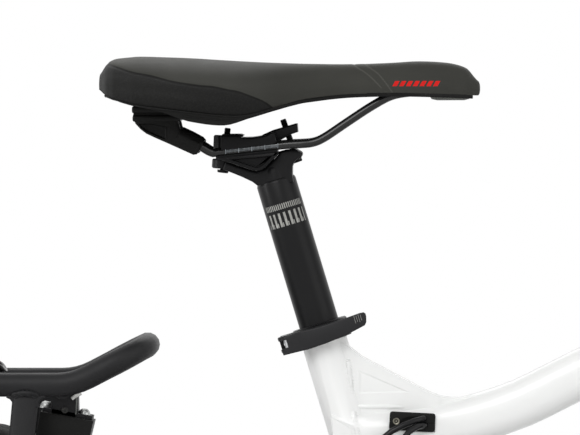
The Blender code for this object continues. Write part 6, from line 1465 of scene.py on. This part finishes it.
class BIKE_OT_controls(bpy.types.Operator):
    """Model the ribbed grips, the ridged twist shifter, the display's glass, and the stem's bolts"""
    bl_idname = "bike.controls"
    bl_label = "Controls"

    def execute(self, context):
        for side, end in ((-1, "right"), (1, "left")):
            start, along = bar_line(side)
            grip = turned_piece("grip", grip_profile(), start + along * 46 * MM, along, 40)
            settle(grip, f"grip_{end}_rubber", "steering", "soft_rubber", f"grip_{end}")
            cap = turned_piece("bar_cap", BAR_CAP, start, along)
            settle(cap, f"bar_cap_{end}", "steering", "soft_rubber")

        start, along = bar_line(-1)
        place = start + along * 24 * MM
        across = along.cross(Z_AXIS).normalized()
        up = along.cross(across)
        parts = [turned_piece("sleeve", SLEEVE, place, along, 40)]
        for angle in round_angles(22):
            out = across * math.cos(angle) + up * math.sin(angle)
            parts.append(box_piece("rib", place + (along * 10 + out * 18.2) * MM, (1.6, 12.5, 2.4), 0.5,
                                   (out, along, out.cross(along)), 1))
        settle(joined("twist_sleeve", parts), "twist_sleeve", "gear_twist", "soft_rubber",
               "twist_shifter")

        up, _ = leaning(60)
        along = Y_AXIS.cross(up)
        face = BAR_CENTRE + up * 41.4 * MM
        face_axes = (along, Y_AXIS, up)
        glass = box_piece("display_glass", face - up * 0.2 * MM, (36, 58, 0.9), 0.3, face_axes, 2)
        settle(glass, "display_glass", "steering", "display_dark_glass")
        keys = [box_piece("key", face + (along * 20.6 + Y_AXIS * y - up * 0.3) * MM, (3.4, 11, 1.4), 0.5,
                          face_axes, 2) for y in (-17, 0, 17)]
        settle(joined("display_keys", keys), "display_keys", "steering", "soft_rubber")

        front = (HEAD_FORWARD * 0.94 + HEAD_UP * 0.34).normalized()
        rise = Y_AXIS.cross(front)
        bolts = [turned_piece("clamp_screw", HEX_SCREW,
                              BAR_CENTRE + (front * 16.2 + Y_AXIS * y + rise * lift) * MM, front, 20)
                 for y in (-14, 14) for lift in (-13, 13)]
        bolts.append(turned_piece("top_cap", TOP_CAP, HEAD_TOP + HEAD_UP * 63 * MM, HEAD_UP))
        settle(joined("stem_bolts", bolts), "stem_bolts", "steering", "black_bolt")
        return {"FINISHED"}


# Battery, motor, cranks and the rest

SMOOTHED = {
    "rear_mudguard": ("mudguard_rear_blade", "frame_body", "black_plastic", "moulded_black", 30, 0.4),
    "mudguard_bracket": ("mudguard_bracket_plate", "frame_body", "black_plastic", "moulded_black", 30, 0.5),
    "rear_light": ("rear_light_housing", "frame_body", "red_lens", "red_lens", 35, 0.8),
    "motor": ("motor_housing", "frame_body", "grey_plastic", "moulded_grey", 35, 2.0),
    "motor_cover": ("motor_side_cover", "frame_body", "black_plastic", "moulded_black", 35, 0.6),
    "rear_axle": ("rear_axle_bar", "frame_body", "steel", "bright_steel", 35, 0.3),
    "rear_caliper": ("rear_caliper_body", "frame_body", "black_anodised", "satin_anodised", 35, 1.2),
    "battery": ("battery_case", "battery_pack", "black_plastic", "moulded_black", 35, 1.6),
    "crank_axle": ("crank_spindle", "crankset", "steel", "bright_steel", 35, 0.3),
    "crank_arm_right": ("crank_right", "crankset", "black_anodised", "satin_anodised", 40, 0.6),
    "crank_arm_left": ("crank_left", "crankset", "black_anodised", "satin_anodised", 40, 0.6),
    "chainring": ("chainring_plate", "crankset", "black_anodised", "satin_anodised", 30, 0.25),
    "chain_guard": ("chain_guard_ring", "crankset", "black_plastic", "moulded_black", 35, 0.5),
    "rear_sprocket": ("sprocket_plate", "sprocket", "steel", "bright_steel", 30, 0.25),
    "pedal_right": ("pedal_right_cage", "right_pedal", "black_plastic", "moulded_black", 35, 0.9),
    "pedal_left": ("pedal_left_cage", "left_pedal", "black_plastic", "moulded_black", 35, 0.9),
    "rear_hub": ("rear_hub_and_spokes", "rear_wheel", "aluminium", "satin_aluminium", 40, 0),
    "front_hub": ("front_hub_and_spokes", "front_wheel", "aluminium", "satin_aluminium", 40, 0),
    "fork_steerer": ("fork_upper", "steering", "black_anodised", "satin_anodised", 40, 0.6),
    "fork_lowers": ("fork_lower_legs", "lower_fork", "black_plastic", "moulded_black", 40, 0.6),
    "front_mudguard": ("mudguard_front_blade", "lower_fork", "black_plastic", "moulded_black", 30, 0.4),
    "front_axle": ("front_axle_bar", "lower_fork", "steel", "bright_steel", 35, 0.3),
    "front_caliper": ("front_caliper_body", "lower_fork", "black_anodised", "satin_anodised", 35, 1.2),
    "headlight": ("headlight_housing", "steering", "lens", "moulded_black", 40, 0.6),
    "stem": ("stem_body", "steering", "black_anodised", "satin_anodised", 40, 0.8),
    "handlebar": ("handlebar_tube", "steering", "black_anodised", "satin_anodised", 50, 0),
    "brake_master_right": ("master_right", "steering", "black_anodised", "satin_anodised", 35, 0.9),
    "brake_master_left": ("master_left", "steering", "black_anodised", "satin_anodised", 35, 0.9),
    "brake_lever_right": ("lever_blade_right", "right_brake_lever", "aluminium", "satin_aluminium", 45, 0),
    "brake_lever_left": ("lever_blade_left", "left_brake_lever", "aluminium", "satin_aluminium", 45, 0),
    "display": ("display_case", "steering", "black_plastic", "moulded_black", 35, 0.8),
    "stand_leg": ("stand_leg_bar", "side_stand", "black_anodised", "satin_anodised", 40, 0.6),
}


LENS = [(0, 28.6), (12, 28.4), (20, 27.6), (21.6, 26.6), (21.6, 24), (0, 24)]
LOCK = [(0, 0.2), (1.0, 0.2), (1.2, 0.8), (5.2, 0.8), (6.4, 0.9), (7.4, 0.2), (7.6, -1.0), (0, -1.0)]
COVER_SCREW = [(0, 0.2), (1.5, 0.2), (1.8, 1.4), (3.4, 1.2), (3.9, 0.4), (3.9, -1.0), (0, -1.0)]
CRANK_CAP = [(0, 1.0), (6.2, 1.0), (9.6, 1.4), (10.8, 0.6), (11.0, -1.0), (0, -1.0)]
BATTERY_START = 62     # from the down tube's lower end to the battery's


class BIKE_OT_smoothed(bpy.types.Operator):
    """Round the edges of the remaining parts, smooth their facets, and add caps, screws, lens and lock"""
    bl_idname = "bike.smoothed"
    bl_label = "Other parts"

    def execute(self, context):
        for node, (name, body, slot, finish, angle, edge) in SMOOTHED.items():
            settle(refined_copy(node, name, angle, edge), name, body, finish, node)

        lamp = HEAD_TOP + (HEAD_FORWARD * 62 - HEAD_UP * 172) * MM
        settle(turned_piece("headlight_lens", LENS, lamp, X_AXIS, 40), "headlight_lens", "steering",
               "clear_lens")

        low = CRANK_CENTRE + at(125, 0, 62)
        up = (HEAD_TOP - HEAD_UP * 116 * MM - low).normalized()
        out = Vector((-up.z, 0, up.x))

        def on_battery(along, y, outward):
            return low + (up * (BATTERY_START + along) + Y_AXIS * y + out * outward) * MM

        lock = turned_piece("battery_lock", LOCK, on_battery(300, -25, 26), -Y_AXIS)
        settle(lock, "battery_lock", "battery_pack", "bright_steel")
        cap = box_piece("charge_cap", on_battery(60, -25, 22), (26, 17, 1.8), 0.8, (up, out, Y_AXIS))
        settle(cap, "charge_cap", "battery_pack", "soft_rubber")
        seams = [box_piece("seam", on_battery(along, 0, 21.5), (1.0, 50.5, 39.0), 0.2, (up, Y_AXIS, out), 1)
                 for along in (24, 396)]
        settle(joined("battery_seams", seams), "battery_seams", "battery_pack",
               "moulded_grey")

        screws = [turned_piece("cover_screw", COVER_SCREW, CRANK_CENTRE + at(x, -45.3, z), -Y_AXIS, 20)
                  for x, z in ((-46, -18), (18, -64), (100, -50), (104, 20), (20, 54), (-40, 44))]
        settle(joined("motor_cover_screws", screws), "motor_cover_screws", "frame_body",
               "black_bolt")
        caps = [turned_piece("crank_cap", CRANK_CAP, CRANK_CENTRE + at(0, side * 82.5, 0), Y_AXIS * side)
                for side in (-1, 1)]
        settle(joined("crank_caps", caps), "crank_caps", "crankset", "moulded_grey")
        return {"FINISHED"}


# Finishes of the CAD nodes

NODE_FINISHES = {
    "gloss_white_paint": ["frame"],
    "rack_powder_coat": ["rear_rack"],
    "satin_anodised": ["seatpost", "rail_cradle", "rail_clamp", "seat_collar", "seat_collar_lever",
                       "rear_rim", "front_rim"],
    "gloss_enamel": ["spring_clip", "saddle_rails"],
    "moulded_black": ["cable_port_cover", "saddle_shell", "saddle_rear_block"],
    "moulded_grey": ["saddle_cover"],
    "soft_rubber": ["grip_right", "grip_left", "twist_shifter"],
    "tyre_rubber": ["rear_tyre", "front_tyre"],
    "bright_steel": ["clamp_bolt_rear", "clamp_bolt_front", "seat_collar_pin", "chain", "rear_brake_disc",
                     "front_brake_disc"],
    "cable_jacket": ["rear_brake_hose", "rear_shift_cable"],
}


class BIKE_OT_finishes(bpy.types.Operator):
    """Give every part of the bike's frame its procedural finish"""
    bl_idname = "bike.finishes"
    bl_label = "Finishes"

    def execute(self, context):
        chosen = {node: finish for node, (_, _, _, finish, _, _) in SMOOTHED.items()}
        chosen["headlight"] = "clear_lens"
        for finish, nodes in NODE_FINISHES.items():
            chosen.update(dict.fromkeys(nodes, finish))
        if set(chosen) != set(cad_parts):
            raise RuntimeError(f"nodes without a finish: {sorted(set(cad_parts) ^ set(chosen))}")
        for node, finish in chosen.items():
            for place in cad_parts[node].material_slots:
                place.material = finishes()[finish]
        return {"FINISHED"}


# Stage

def add_softbox(name, place, target, size, power):
    """A rectangular lamp that looks at a target."""
    bpy.ops.object.light_add(type="AREA", location=place)
    lamp = bare(name)
    lamp.data.shape = "RECTANGLE"
    lamp.data.size, lamp.data.size_y = size
    lamp.data.energy = power
    aim(lamp, Vector(target) - Vector(place))


def aim(piece, direction):
    """Turns a lamp or a camera to look along a direction."""
    piece.rotation_euler = direction.to_track_quat("-Z", "Y").to_euler()


WHITE = (1, 1, 1)
FLOOR_FADE = (1.6, 5.0)    # where the floor begins to turn white, and where it has, in metres from its middle
SENSOR_WIDTH = 36
EYE = Vector((0.57, -9.6, 1.12))
PHOTO_MIDDLE = Vector((0.29892, 0, 0.87896))


class BIKE_OT_stage(bpy.types.Operator):
    """Set up the floor, the lamps, the white surround and the camera"""
    bl_idname = "bike.stage"
    bl_label = "Stage"

    def execute(self, context):
        scene = context.scene
        scene.view_settings.view_transform = "Standard"
        scene.world = bpy.data.worlds.new("studio")
        scene.world.use_nodes = True
        studio = Nodes(scene.world.node_tree)
        fill = studio.add("Background", {"Color": WHITE, "Strength": 0.52})["Background"]
        white = studio.add("Background", {"Color": WHITE, "Strength": 1.0})["Background"]
        studio.feed(studio.tree.nodes["World Output"],
                    {"Surface": studio.mix_shader(studio.seen_directly(), fill, white)})

        select_nothing()
        bpy.ops.mesh.primitive_circle_add(vertices=96, radius=9, fill_type="NGON",
                                          location=(0.56, 0, -0.0005))
        floor = bare("studio_floor")
        paper = Finish("floor_paper", 0.85)
        paper.dress({"Base Color": (0.88, 0.88, 0.88)})
        far = paper.add("VectorMath", {0: paper.place}, operation="LENGTH")["Value"]
        fade = paper.add("MapRange", {"Value": far, "From Min": FLOOR_FADE[0], "From Max": FLOOR_FADE[1]},
                         interpolation_type="SMOOTHSTEP")["Result"]
        blend = paper.mix_shader(paper.times(fade, paper.seen_directly()), paper.shader.outputs["BSDF"],
                                 paper.add("Emission", {})["Emission"])
        paper.feed(paper.tree.nodes["Material Output"], {"Surface": blend})
        floor.data.materials.append(paper.material)

        add_softbox("key_softbox", (-0.9, -3.6, 3.2), (0.45, 0, 0.7), (2.6, 2.2), 78)
        add_softbox("side_softbox", (-3.5, -1.15, 1.5), (0.3, 0, 0.75), (0.9, 2.2), 34)
        add_softbox("back_softbox", (0.6, 3.2, 3.2), (0.5, 0, 0.7), (3.0, 1.6), 26)
        add_softbox("right_softbox", (3.4, -2.2, 2.2), (0.6, 0, 0.7), (3.0, 3.0), 24)

        bpy.ops.object.camera_add(location=EYE)
        camera = bare("photo_camera")
        sight = PHOTO_MIDDLE - EYE
        aim(camera, sight)
        camera.data.sensor_width = SENSOR_WIDTH
        camera.data.lens = SENSOR_WIDTH * sight.length / (PHOTO_WIDTH * PHOTO_SCALE * MM)
        camera.data.clip_end = 60
        scene.camera = camera
        return {"FINISHED"}


OPERATORS = (BIKE_OT_finishes, BIKE_OT_cables, BIKE_OT_saddle_cover, BIKE_OT_saddle_shell,
             BIKE_OT_saddle_rails, BIKE_OT_seatpost, BIKE_OT_collar, BIKE_OT_frame, BIKE_OT_cable_port,
             BIKE_OT_rack, BIKE_OT_wheels, BIKE_OT_chain, BIKE_OT_controls, BIKE_OT_smoothed, BIKE_OT_stage)


class BIKE_PT_panel(bpy.types.Panel):
    """Lists the bike's pieces, sizes and colours"""
    bl_idname = "BIKE_PT_panel"
    bl_label = "Trekking bike"
    bl_space_type = "VIEW_3D"
    bl_region_type = "UI"
    bl_category = "Bike"

    def draw(self, context):
        for group in (context.scene.bike_sizes, context.scene.bike_colours):
            for field in group.__annotations__:
                self.layout.prop(group, field)
        for operator in OPERATORS:
            self.layout.operator(operator.bl_idname)


CLASSES = (BikeColours, BikeSizes, *OPERATORS, BIKE_PT_panel)


def register():
    for each in CLASSES:
        bpy.utils.register_class(each)
    bpy.types.Scene.bike_colours = PointerProperty(type=BikeColours)
    bpy.types.Scene.bike_sizes = PointerProperty(type=BikeSizes)


def unregister():
    del bpy.types.Scene.bike_sizes
    del bpy.types.Scene.bike_colours
    for each in reversed(CLASSES):
        bpy.utils.unregister_class(each)


def main():
    register()
    bpy.ops.bike.finishes()
    bpy.ops.bike.cables()
    bpy.ops.bike.saddle_cover()
    bpy.ops.bike.saddle_shell()
    bpy.ops.bike.saddle_rails()
    bpy.ops.bike.seatpost()
    bpy.ops.bike.collar()
    bpy.ops.bike.frame()
    bpy.ops.bike.cable_port()
    bpy.ops.bike.rack()
    bpy.ops.bike.wheels()
    bpy.ops.bike.chain()
    bpy.ops.bike.controls()
    bpy.ops.bike.smoothed()
    bpy.ops.bike.stage()


if __name__ == "__main__":
    main()
